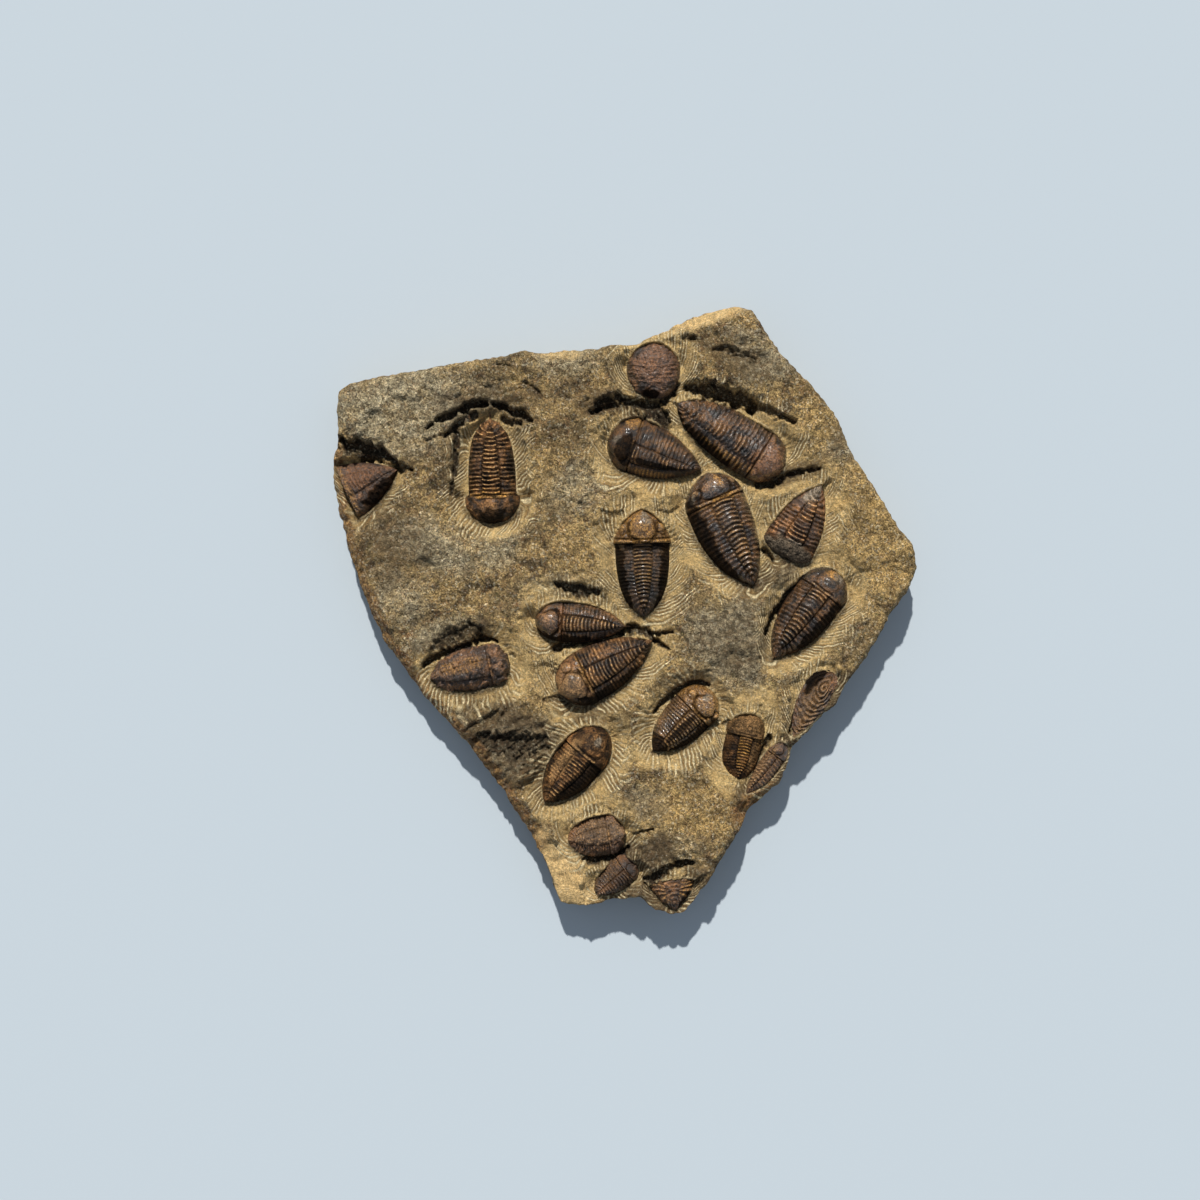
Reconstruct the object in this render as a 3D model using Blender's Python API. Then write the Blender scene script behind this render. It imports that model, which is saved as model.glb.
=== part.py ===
"""A slab of rock with twenty trilobites standing in the hollows that were cut round them.

The slab lies flat on its back. X runs across it, Y along it and Z up out of its face, in metres, with the
origin under the middle of its outline. Each fossil stands in a socket of its own with a thin gap round it.
"""

import math
from collections import namedtuple

import bmesh
import bpy

OBJECT_NAME = "trilobite_slab"

# Heights above the underside.
ROCK_TOP = 0.0285
RIM_CHAMFER = 0.0025
BELLY = 0.0080
SHOULDER = 0.0200
BELLY_INSET = 0.0020
SHOULDER_SHARE = 0.6
RIM_EXTRA = 0.0018

# The sockets and the hollows round the fossils.
GAP = 0.0004
SOCKET_FLARE = 0.0008
MOAT_WIDTH = 0.0055
EMBEDDED = 0.0050
CUT_ABOVE = 0.0030

# Every fossil is a loft of this many sections, each with this many points over its back.
STATIONS = 11
BACK_POINTS = 7
TIP_SHARE = 0.16
FLANK_DROP = 0.0008
ARCH_POWER = 2.4
ARCH_ROUND = 0.55

# The slab's outline, counter-clockwise from its upper left corner: x, y, and how far the rim of the face
# lies inside the outline there.
OUTLINE = [
    (-0.1378, 0.1140, 0.0030), (-0.1438, 0.1085, 0.0030), (-0.1444, 0.0862, 0.0030),
    (-0.1465, 0.0726, 0.0040), (-0.1465, 0.0605, 0.0050), (-0.1403, 0.0367, 0.0050),
    (-0.1332, 0.0130, 0.0060), (-0.1216, -0.0148, 0.0060), (-0.1105, -0.0289, 0.0060),
    (-0.1014, -0.0431, 0.0070), (-0.0867, -0.0582, 0.0070), (-0.0726, -0.0754, 0.0070),
    (-0.0605, -0.0915, 0.0070), (-0.0504, -0.1077, 0.0075), (-0.0403, -0.1259, 0.0080),
    (-0.0322, -0.1466, 0.0070), (-0.0241, -0.1491, 0.0050), (-0.0140, -0.1476, 0.0030),
    (-0.0039, -0.1442, 0.0020), (0.0082, -0.1442, 0.0015), (0.0163, -0.1500, 0.0012),
    (0.0244, -0.1530, 0.0012), (0.0305, -0.1514, 0.0012), (0.0370, -0.1426, 0.0015),
    (0.0552, -0.1138, 0.0020), (0.0612, -0.1016, 0.0030), (0.0774, -0.0865, 0.0020),
    (0.0814, -0.0774, 0.0012), (0.0834, -0.0688, 0.0012), (0.0966, -0.0542, 0.0012),
    (0.1042, -0.0481, 0.0012), (0.1100, -0.0374, 0.0012), (0.1198, -0.0249, 0.0020),
    (0.1319, -0.0042, 0.0020), (0.1436, 0.0140, 0.0020), (0.1465, 0.0221, 0.0020),
    (0.1436, 0.0327, 0.0020), (0.1375, 0.0408, 0.0020), (0.1239, 0.0630, 0.0020),
    (0.1112, 0.0827, 0.0020), (0.1082, 0.0923, 0.0020), (0.1006, 0.1047, 0.0020),
    (0.0784, 0.1282, 0.0020), (0.0713, 0.1378, 0.0020), (0.0633, 0.1509, 0.0035),
    (0.0552, 0.1530, 0.0060), (0.0410, 0.1499, 0.0060), (0.0223, 0.1418, 0.0040),
    (0.0062, 0.1340, 0.0020), (-0.0241, 0.1307, 0.0020), (-0.0443, 0.1287, 0.0020),
    (-0.0504, 0.1300, 0.0020), (-0.0665, 0.1266, 0.0020), (-0.0933, 0.1226, 0.0030),
    (-0.1135, 0.1186, 0.0030),
]

# head and tail are the two ends of the back on the face, width is the widest span. The head takes head_share
# of the length, and behind it the width falls as (1 - s ** taper) ** blunt. left and right, looking from the
# head to the tail, stretch or narrow each side, and bow bends the back to the left. floor is the rock round
# the fossil and height is its crest above that.
Specimen = namedtuple(
    "Specimen", "name tone head tail width head_share taper blunt bow left right floor height"
)
SPECIMENS = [
    Specimen("trilobite_left_edge", "red", (-0.1393, 0.0594), (-0.1145, 0.0706),
             0.0288, 0.00, 1.6, 0.80, 0.0, 1.0, 1.0, 0.0190, 0.0095),
    Specimen("trilobite_upper_left", "dark", (-0.0662, 0.0434), (-0.0678, 0.0962),
             0.0278, 0.22, 4.2, 0.55, 0.0, 1.0, 1.0, 0.0200, 0.0110),
    Specimen("trilobite_top_rolled", "red", (0.0006, 0.1206), (0.0279, 0.1206),
             0.0288, 0.50, 2.0, 0.50, 0.0, 1.0, 1.0, 0.0200, 0.0110),
    Specimen("trilobite_upper_pair_small", "dark", (-0.0085, 0.0862), (0.0382, 0.0714),
             0.0263, 0.27, 2.2, 0.85, -0.0010, 1.22, 1.0, 0.0200, 0.0105),
    Specimen("trilobite_upper_pair_large", "dark", (0.0794, 0.0706), (0.0264, 0.1039),
             0.0273, 0.22, 3.2, 0.70, 0.0, 1.0, 1.0, 0.0195, 0.0125),
    Specimen("trilobite_centre_large", "dark", (0.0401, 0.0689), (0.0643, 0.0128),
             0.0315, 0.25, 2.8, 0.75, -0.0015, 1.0, 1.0, 0.0200, 0.0130),
    Specimen("trilobite_tail_up", "red", (0.0797, 0.0259), (0.0985, 0.0633),
             0.0256, 0.15, 2.4, 0.85, 0.0, 1.10, 1.0, 0.0205, 0.0095),
    Specimen("trilobite_ochre_head", "ochre", (0.0083, 0.0514), (0.0093, -0.0030),
             0.0300, 0.33, 2.8, 0.75, 0.0, 1.0, 1.0, 0.0200, 0.0115),
    Specimen("trilobite_middle_small", "dark", (-0.0453, -0.0050), (0.0001, -0.0078),
             0.0222, 0.30, 2.6, 0.80, 0.0, 1.0, 0.9, 0.0200, 0.0100),
    Specimen("trilobite_middle_large", "dark", (-0.0340, -0.0402), (0.0135, -0.0150),
             0.0300, 0.30, 2.2, 0.85, 0.0, 0.90, 1.0, 0.0195, 0.0125),
    Specimen("trilobite_far_left", "red", (-0.0581, -0.0252), (-0.0978, -0.0340),
             0.0222, 0.25, 3.6, 0.70, 0.0, 1.0, 1.0, 0.0200, 0.0100),
    Specimen("trilobite_right_lower", "dark", (0.1070, 0.0194), (0.0746, -0.0234),
             0.0258, 0.25, 3.0, 0.80, 0.0, 1.0, 1.0, 0.0195, 0.0115),
    Specimen("trilobite_centre_lower", "ochre", (0.0443, -0.0408), (0.0140, -0.0701),
             0.0237, 0.28, 2.8, 0.80, 0.0, 1.0, 1.0, 0.0200, 0.0105),
    Specimen("trilobite_lower_left", "dark", (-0.0098, -0.0592), (-0.0405, -0.0960),
             0.0258, 0.35, 2.6, 0.80, 0.0, 1.0, 1.0, 0.0195, 0.0120),
    Specimen("trilobite_right_edge_flat", "red", (0.1040, -0.0311), (0.0842, -0.0638),
             0.0192, 0.30, 2.0, 0.90, 0.0, 0.64, 1.0, 0.0245, 0.0035),
    Specimen("trilobite_lower_right", "dark", (0.0640, -0.0512), (0.0563, -0.0845),
             0.0226, 0.30, 3.2, 0.60, 0.0, 0.76, 1.0, 0.0215, 0.0075),
    Specimen("trilobite_lower_right_edge", "red", (0.0797, -0.0659), (0.0608, -0.0918),
             0.0126, 0.25, 2.8, 0.80, 0.0, 1.0, 0.66, 0.0215, 0.0070),
    Specimen("trilobite_bottom_left", "red", (0.0000, -0.1107), (-0.0287, -0.1153),
             0.0217, 0.30, 3.0, 0.60, 0.0, 1.0, 1.0, 0.0195, 0.0090),
    Specimen("trilobite_bottom_fan", "red", (0.0050, -0.1262), (-0.0150, -0.1418),
             0.0160, 0.25, 3.0, 0.70, 0.0, 1.0, 1.0, 0.0185, 0.0080),
    Specimen("trilobite_bottom_wedge", "red", (0.0232, -0.1345), (0.0254, -0.1508),
             0.0235, 0.14, 1.5, 0.90, 0.0, 1.0, 1.0, 0.0180, 0.0090),
]

TONES = {
    "dark": (0.055, 0.036, 0.024, 1.0),
    "red": (0.110, 0.060, 0.040, 1.0),
    "ochre": (0.160, 0.085, 0.030, 1.0),
}
ROCK_COLOUR = (0.330, 0.235, 0.115, 1.0)


def clear_scene():
    for thing in list(bpy.data.objects):
        bpy.data.objects.remove(thing, do_unlink=True)


def new_collection(name):
    collection = bpy.data.collections.new(name)
    bpy.context.scene.collection.children.link(collection)
    return collection


def stone(name, colour, roughness):
    material = bpy.data.materials.new(name)
    material.use_nodes = True
    shader = material.node_tree.nodes["Principled BSDF"]
    shader.inputs["Base Color"].default_value = colour
    shader.inputs["Roughness"].default_value = roughness
    shader.inputs["Metallic"].default_value = 0.0
    return material


def loft(name, rings, collection, material=None):
    """One closed body of triangles through rings of equal length, with a flat cap on each end."""
    mesh = bpy.data.meshes.new(name)
    bm = bmesh.new()
    rows = [[bm.verts.new(point) for point in ring] for ring in rings]
    count = len(rows[0])
    for low, high in zip(rows, rows[1:]):
        for i in range(count):
            j = (i + 1) % count
            bm.faces.new((low[i], low[j], high[j], high[i]))
    bm.faces.new(list(reversed(rows[0])))
    bm.faces.new(rows[-1])
    bmesh.ops.triangulate(bm, faces=bm.faces)
    bmesh.ops.recalc_face_normals(bm, faces=bm.faces)
    bm.to_mesh(mesh)
    bm.free()
    thing = bpy.data.objects.new(name, mesh)
    if material:
        mesh.materials.append(material)
    collection.objects.link(thing)
    return thing


def inset(outline, share, extra):
    """The outline moved inwards by each point's own rim distance times share, plus extra."""
    moved = []
    for i, (x, y, rim) in enumerate(outline):
        before = outline[i - 1]
        after = outline[(i + 1) % len(outline)]
        along_x, along_y = after[0] - before[0], after[1] - before[1]
        length = math.hypot(along_x, along_y)
        distance = rim * share + extra
        moved.append((x - along_y / length * distance, y + along_x / length * distance))
    return moved


def slab_body(collection):
    levels = [
        (0.0, 0.0, BELLY_INSET),
        (BELLY, 0.0, 0.0),
        (SHOULDER, SHOULDER_SHARE, 0.0),
        (ROCK_TOP - RIM_CHAMFER, 1.0, 0.0),
        (ROCK_TOP, 1.0, RIM_EXTRA),
    ]
    rings = [
        [(x, y, height) for x, y in inset(OUTLINE, share, extra)] for height, share, extra in levels
    ]
    return loft("matrix_slab", rings, collection, stone("matrix_rock", ROCK_COLOUR, 0.9))


def half_width(specimen, along):
    """The plan's half width at a share of the length from the head, for an even-sided specimen."""
    if along < specimen.head_share:
        short = (specimen.head_share - along) / specimen.head_share
        share = math.sqrt(max(0.0, 1.0 - short * short))
    else:
        behind = (along - specimen.head_share) / (1.0 - specimen.head_share)
        share = max(0.0, 1.0 - behind ** specimen.taper) ** specimen.blunt
    return 0.5 * specimen.width * max(share, TIP_SHARE)


def crest(specimen, along):
    """How high the back stands over the rock, as a share of the specimen's height."""
    rise = min(1.0, (0.55 + along / 0.18 * 0.45) if specimen.head_share else 1.0)
    fall = 1.0 - 0.55 * max(0.0, (along - 0.55) / 0.45) ** 1.6
    return rise * fall


def stations():
    """Shares of the length, closer together at both ends."""
    return [0.5 - 0.5 * math.cos(math.pi * i / (STATIONS - 1)) for i in range(STATIONS)]


def axis_frame(specimen):
    """The head's point, the direction to the tail, its left-hand normal and the length, on the face."""
    dx = specimen.tail[0] - specimen.head[0]
    dy = specimen.tail[1] - specimen.head[1]
    length = math.hypot(dx, dy)
    return specimen.head, (dx / length, dy / length), (-dy / length, dx / length), length


def plan_point(specimen, along, across, margin):
    """A point on the face: across runs from -1, the right edge, to 1, the left one."""
    head, forward, left, length = axis_frame(specimen)
    reach = half_width(specimen, along) * (specimen.left if across > 0 else specimen.right) + margin
    distance = along * (length + 2.0 * margin) - margin
    side = across * reach + specimen.bow * 4.0 * along * (1.0 - along)
    return (
        head[0] + forward[0] * distance + left[0] * side,
        head[1] + forward[1] * distance + left[1] * side,
    )


def fossil_section(specimen, along):
    """One closed ring across the back: the buried base, both flanks and the arch between them."""
    base = specimen.floor - EMBEDDED
    flank = specimen.floor - FLANK_DROP
    ring = [(*plan_point(specimen, along, -1.0, 0.0), base)]
    for i in range(BACK_POINTS):
        across = -math.cos(math.pi * i / (BACK_POINTS - 1))
        arch = max(0.0, 1.0 - abs(across) ** ARCH_POWER) ** ARCH_ROUND
        top = flank + (specimen.height + FLANK_DROP) * crest(specimen, along) * arch
        ring.append((*plan_point(specimen, along, across, 0.0), top))
    ring.append((*plan_point(specimen, along, 1.0, 0.0), base))
    return ring


def fossil_body(specimen, collection):
    rings = [fossil_section(specimen, along) for along in stations()]
    material = stone(specimen.name + "_calcite", TONES[specimen.tone], 0.45)
    fossil = loft(specimen.name, rings, collection, material)
    fossil.data.shade_smooth()
    fossil.data.set_sharp_from_angle(angle=math.radians(40))
    return fossil


def plan_ring(specimen, margin, height):
    left = [(*plan_point(specimen, along, 1.0, margin), height) for along in stations()]
    right = [(*plan_point(specimen, along, -1.0, margin), height) for along in stations()]
    return left + right[::-1]


def socket_cutter(specimen, collection):
    """The socket that holds the fossil, opening into the hollow round it."""
    moat = MOAT_WIDTH * min(1.0, (ROCK_TOP - specimen.floor) / 0.008)
    rings = [
        plan_ring(specimen, GAP, specimen.floor - EMBEDDED - GAP),
        plan_ring(specimen, GAP, specimen.floor - FLANK_DROP),
        plan_ring(specimen, SOCKET_FLARE, specimen.floor),
        plan_ring(specimen, moat, ROCK_TOP + CUT_ABOVE),
    ]
    cutter = loft("socket_for_" + specimen.name, rings, collection)
    cutter.hide_render = True
    cutter.display_type = "WIRE"


def cut_sockets(slab, cutters):
    """Cuts every socket in one step, because neighbouring hollows run into each other."""
    cut = slab.modifiers.new("sockets", "BOOLEAN")
    cut.operation = "DIFFERENCE"
    cut.solver = "EXACT"
    cut.operand_type = "COLLECTION"
    cut.collection = cutters


def main():
    clear_scene()
    parts = new_collection(OBJECT_NAME)
    helpers = new_collection("cutters")
    slab = slab_body(parts)
    for specimen in SPECIMENS:
        fossil_body(specimen, parts)
        socket_cutter(specimen, helpers)
    cut_sockets(slab, helpers)


main()
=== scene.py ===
"""The looks of the fossil slab: carved rock and twenty trilobites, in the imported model's frame."""

import math

import bpy
import numpy as np
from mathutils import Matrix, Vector
from mathutils.geometry import delaunay_2d_cdt


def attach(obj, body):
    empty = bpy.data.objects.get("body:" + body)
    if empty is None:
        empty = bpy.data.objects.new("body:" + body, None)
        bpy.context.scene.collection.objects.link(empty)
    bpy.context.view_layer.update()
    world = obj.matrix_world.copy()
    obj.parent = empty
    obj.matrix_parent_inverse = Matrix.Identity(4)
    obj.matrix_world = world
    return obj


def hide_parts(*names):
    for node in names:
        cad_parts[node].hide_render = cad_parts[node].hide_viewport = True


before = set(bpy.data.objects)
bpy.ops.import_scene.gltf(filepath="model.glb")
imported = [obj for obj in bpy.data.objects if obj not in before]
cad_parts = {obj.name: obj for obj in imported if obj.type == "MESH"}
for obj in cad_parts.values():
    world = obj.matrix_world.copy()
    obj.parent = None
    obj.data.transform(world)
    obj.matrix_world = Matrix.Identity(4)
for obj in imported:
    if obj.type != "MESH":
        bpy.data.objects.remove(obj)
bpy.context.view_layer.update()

MM = 0.001

# ---------------------------------------------------------------- heights and depths of the rock, in metres
FACE = 0.0275           # the old surface's mean height
LOWEST = 0.006          # nothing is carved deeper
GRAIN = 0.00042
CUT_DEPTH = 0.00034     # of a chisel stroke
STROKE_SPACING = 0.0020
CROSS_SPACING = 0.0022  # of the second set of strokes, which leans the other way
CROSS_START = 0.0055    # how far from a fossil that set starts
LIP_HEIGHT = 0.0005     # the collar of rock round a fossil
LIP_AT = 0.0006
LIP_SPREAD = 0.0005
SOCKET_DROP = 0.0012    # how far the rock under a fossil lies below its foot
TALL = 0.0085           # a fossil higher than this gets shadow painted on its moat, on the side away from the sun
UNDERSIDE = 0.0006
WALL_BULGE = 0.0002
WALL_FOOT = 0.0016      # how far the side walls draw in towards their foot
WALL_FOOT_HEIGHT = 0.0006
WALL_RINGS = 13

# ---------------------------------------------------------------- fineness of the meshes
FINE = 0.00064          # between the face's points where it is carved
ROW = 0.866             # between rows of points, as a share of that
CARVED_REACH = 0.0080   # how far from a fossil the points are that close
RIM_STEP = 0.0011
BACK_STEP = 0.0032
FAR = 1.0               # stands for a distance to something that isn't near
FOSSIL_STATIONS = 196
BACK_POINTS = 88
CROWDING = 0.09         # how far the stations draw together towards both ends
TIP_GAP = 0.0004        # between an end of a fossil and its outermost station, as a share of the length
FOSSIL_ROOT = 0.0035    # how far a fossil reaches below its foot, into the rock

# ---------------------------------------------------------------- looks
CRACKED = 0.6           # how clear the hair cracks in the fossils are
RIB_SHIFT = 0.12        # how far the ribs lie behind the rings, as a share of one
BRIGHTEST = 2.5         # the mask "bright" is a share of this
UMBER_MOST = 1.8
# The last tone is partly darker calcite and partly shadow painted on flanks turned from the sun.
STAIN_AND_SHADOW_TONES = ("ochre", "grey", "red", "tan", "black_and_shadow")
FINISHES = {            # name, body, shine and ridges, then roughness, bumps and coat
    "fossil_dark": ("dark_calcite", (35, 25, 17), (110, 77, 45), (192, 149, 96), 0.22, 0.00036, 0.9),
    "fossil_red": ("red_brown_calcite", (59, 40, 26), (124, 86, 52), (182, 136, 84), 0.42, 0.00050, 0.15),
    "fossil_ochre": ("ochre_calcite", (32, 23, 15), (100, 71, 42), (186, 146, 90), 0.23, 0.00036, 0.8),
}
CAMERA_AIM = (-0.0126, 0.0053)
CAMERA_HEIGHT = 0.868
CAMERA_LENS = 50.5
SENSOR = 36.0
SUN_STRENGTH = 3.95
SUN_ANGLE = 0.026
SUN_COLOUR = (1.0, 0.965, 0.91)
SUN_CLIMB = 46.0        # degrees above the floor
SUN_TURN = 6.0          # degrees from +Y towards -X
SKY_COLOUR = (0.74, 0.85, 1.0, 1.0)
SKY_STRENGTH = 0.32
FLOOR_SIZE = 6.0
FLOOR_DROP = 0.0002
FLOOR_COLOUR = (190, 201, 209)
FLOOR_ROUGHNESS = 0.9

# The slab's outline in metres, counter-clockwise from its upper left corner: x, y, then how wide the broken
# slope along the rim is there and how far it falls.
OUTLINE = [
    (-0.1378, 0.114, 0.003, 0.003), (-0.1438, 0.1085, 0.003, 0.004), (-0.1444, 0.0862, 0.004, 0.005),
    (-0.1465, 0.0726, 0.006, 0.009), (-0.1465, 0.0605, 0.006, 0.01), (-0.1403, 0.0367, 0.006, 0.007),
    (-0.1332, 0.013, 0.006, 0.007), (-0.1216, -0.0148, 0.006, 0.0075), (-0.1105, -0.0289, 0.006, 0.009),
    (-0.1014, -0.0431, 0.006, 0.009), (-0.0867, -0.0582, 0.006, 0.009), (-0.0726, -0.0754, 0.006, 0.009),
    (-0.0605, -0.0915, 0.006, 0.008), (-0.0504, -0.1077, 0.007, 0.01), (-0.0403, -0.1259, 0.016, 0.006),
    (-0.0322, -0.1466, 0.018, 0.006), (-0.0241, -0.1491, 0.015, 0.006), (-0.014, -0.1476, 0.006, 0.006),
    (-0.0039, -0.1442, 0.003, 0.005), (0.0082, -0.1442, 0.002, 0.004), (0.0163, -0.15, 0.002, 0.003),
    (0.0244, -0.153, 0.002, 0.003), (0.0305, -0.1514, 0.003, 0.004), (0.037, -0.1426, 0.003, 0.004),
    (0.0552, -0.1138, 0.003, 0.004), (0.0612, -0.1016, 0.01, 0.009), (0.0774, -0.0865, 0.004, 0.006),
    (0.0814, -0.0774, 0.002, 0.003), (0.0834, -0.0688, 0.002, 0.003), (0.0966, -0.0542, 0.002, 0.002),
    (0.1042, -0.0481, 0.002, 0.002), (0.11, -0.0374, 0.002, 0.002), (0.1198, -0.0249, 0.002, 0.003),
    (0.1319, -0.0042, 0.002, 0.003), (0.1436, 0.014, 0.003, 0.004), (0.1465, 0.0221, 0.003, 0.004),
    (0.1436, 0.0327, 0.002, 0.003), (0.1375, 0.0408, 0.002, 0.003), (0.1239, 0.063, 0.002, 0.003),
    (0.1112, 0.0827, 0.002, 0.003), (0.1082, 0.0923, 0.002, 0.003), (0.1006, 0.1047, 0.002, 0.003),
    (0.0784, 0.1282, 0.002, 0.003), (0.0713, 0.1378, 0.002, 0.003), (0.0633, 0.1509, 0.004, 0.004),
    (0.0552, 0.153, 0.007, 0.006), (0.041, 0.1499, 0.006, 0.006), (0.0223, 0.1418, 0.004, 0.004),
    (0.0062, 0.134, 0.002, 0.003), (-0.0241, 0.1307, 0.002, 0.003), (-0.0443, 0.1287, 0.002, 0.003),
    (-0.0504, 0.13, 0.002, 0.003), (-0.0665, 0.1266, 0.002, 0.004), (-0.0933, 0.1226, 0.003, 0.004),
    (-0.1135, 0.1186, 0.003, 0.003),
]


class Fossil:
    """One trilobite: where it lies, its size, and how it is kept.

    Lengths are in metres and relief is in millimetres. Shares run along the fossil from its head, or across
    it from the middle line to a flank.
    """

    slot = "fossil_dark"
    head_share = 0.27   # the widening front's share of the plan's length
    peak = 0.0          # how pointed the front is
    taper = 2.8         # behind the front the width falls as (1 - s ** taper) ** blunt
    blunt = 0.8
    bow = 0.0           # how far the back bends to its left
    left = 1.0          # the left flank's width, as a share of half the width
    right = 1.0
    floor = 0.020       # height of the flanks' foot
    height = 0.011      # of the crest over that
    ball = False        # rolled up
    neck = None         # where the head ends, if not where the front does
    waist = 0.0         # how much narrower the body is than the head
    step = 0.5          # how far the body lies below the head's rear edge
    roll = 0.0          # how far the middle line is turned to the left flank
    rings = 11          # segments of the thorax
    sweep = 1.2         # how many segments the ribs run backwards by the margin
    ring_depth = 0.75
    rib_depth = 0.60
    notch = 0.30        # the furrow along each rib
    lobe = 1.9          # how far the axial lobe stands up
    glabella = 2.4      # how far the middle of the head swells
    glabella_width = 0.50
    crisp = 1.0         # how clear the furrows of the head are
    collar = 0.55       # how far the head's rear ring reaches to each side
    banding = 1.0       # how far the ribs differ in colour from their furrows
    flank_tone = 0.60   # the same on the flanks, as a share of the axial lobe's
    polish = 1.0
    bright = 1.0        # how light its calcite is, against its finish
    eyes = 1.0
    axis = 1.0          # how clear the furrows beside the axial lobe are
    rounds = False      # ribs run in rounds about the middle of the head
    rough = 0.20
    waver = 1.0         # how far the ribs wander
    spine = 0.0         # length of the tail's spine
    steep = 0.0         # 1 where the rock's wall above the fossil is steep
    moat = 0.0080       # width of the hollow carved round it
    lean = 1.2          # how far the chisel strokes lean towards +Y
    hand = None         # or the way, in degrees from +X, that they all lean along instead
    tail_share = 0.22
    crest = 2.6         # how narrow the rings and ribs are
    fan = False         # the tail's ribs radiate from its front instead of running backwards
    blank_front = 0.0   # share of the front that is broken and featureless
    ochre_head = 0.0
    ochre_rings = 0.0
    ochre_ribs = 0.0
    stains_and_shadows = ()         # tone, then where along and across, and the radii along and across; a patch of the deepest tone is partly painted shadow on a flank turned from the sun

    def __init__(self, node, head, tail, width, **traits):
        self.node, self.width = node, width
        self.head, self.tail = np.array(head), np.array(tail)
        self.__dict__.update(traits)
        if self.neck is None:
            self.neck = self.head_share
        way = self.tail - self.head
        self.length = float(np.hypot(*way))
        self.forward = way / self.length
        self.side = np.array((-self.forward[1], self.forward[0]))

    def half_width(self, along):
        """Half the plan's width at shares of the length from the head."""
        ahead = np.clip((self.head_share - along) / max(self.head_share, 1e-6), 0.0, 1.0)
        behind = np.clip((along - self.head_share) / (1.0 - self.head_share), 0.0, 1.0)
        front = (1.0 - ahead ** (2.0 - 0.5 * self.peak)) ** (0.5 + 0.15 * self.peak)
        share = np.where(along < self.head_share, front, (1.0 - behind ** self.taper) ** self.blunt)
        narrow = self.waist * ease(self.neck - 0.01, self.neck + 0.025, along)
        return 0.5 * self.width * share * (1.0 - narrow * (1.0 - ease(0.6, 1.0, along)))

    def plan(self, along, across):
        """Points on the face, with across from -1, the right edge, to 1, the left one."""
        reach = self.half_width(along) * np.where(across > 0, self.left, self.right)
        tip = self.spine / self.length
        if tip:
            spike = 0.0007 * np.clip((1.0 + tip - along) / (tip + 0.05), 0.0, 1.0)
            reach = np.maximum(reach, spike * (along > 0.9))
        side = across * reach + self.bow * 4.0 * along * (1.0 - np.minimum(along, 1.0))
        distance = along * self.length
        return [self.head[i] + self.forward[i] * distance + self.side[i] * side for i in (0, 1)]

    def outline(self, steps=36):
        """The plan as a closed polygon, head first, down the left flank and back up the right one."""
        along = 0.5 - 0.5 * np.cos(np.linspace(0.0, math.pi, steps))
        left = np.stack(self.plan(along, np.ones(steps)), axis=1)
        right = np.stack(self.plan(along[::-1], -np.ones(steps)), axis=1)
        return np.concatenate([left, right])

    def round_about(self, x, y):
        """Where points lie on the way round the fossil's ellipse.

        Gives the arc length at each point, the ellipse's whole length, how far the way climbs there to +Y or
        to the hand that carves it, and how stretched it is.
        """
        middle = 0.5 * (self.head + self.tail) + self.side * 0.25 * self.width * (self.left - self.right)
        dx, dy = x - middle[0], y - middle[1]
        along = dx * self.forward[0] + dy * self.forward[1]
        across = dx * self.side[0] + dy * self.side[1]
        major, minor = 0.5 * self.length, 0.25 * self.width * (self.left + self.right)
        axis, other = self.forward, self.side
        if minor > major:
            major, minor, along, across, axis, other = minor, major, across, along, other, axis
        focus = math.sqrt(max(major ** 2 - minor ** 2, (0.3 * major) ** 2))
        minor = math.sqrt(major ** 2 - focus ** 2)
        place = np.arccosh((along + 1j * across) / focus)
        angle = place.imag
        table = np.linspace(-math.pi, math.pi, 361)
        speed = np.hypot(major * np.sin(table), minor * np.cos(table))
        length = np.concatenate([[0.0], np.cumsum(0.5 * (speed[1:] + speed[:-1]) * np.diff(table))])
        run_x, run_y = -major * np.sin(angle), minor * np.cos(angle)
        run = np.hypot(run_x, run_y)
        rise = (run_x * axis[1] + run_y * other[1]) / run
        if self.hand is not None:
            c, s = math.cos(math.radians(self.hand)), math.sin(math.radians(self.hand))
            towards = run_x * (axis[0] * c + axis[1] * s) + run_y * (other[0] * c + other[1] * s)
            rise = towards / run * np.clip((dx * c + dy * s) / (0.25 * self.width), -1.0, 1.0)
        stretch = focus * np.abs(np.sinh(place)) / run
        return np.interp(angle, table, length), float(length[-1]), rise, stretch


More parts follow.
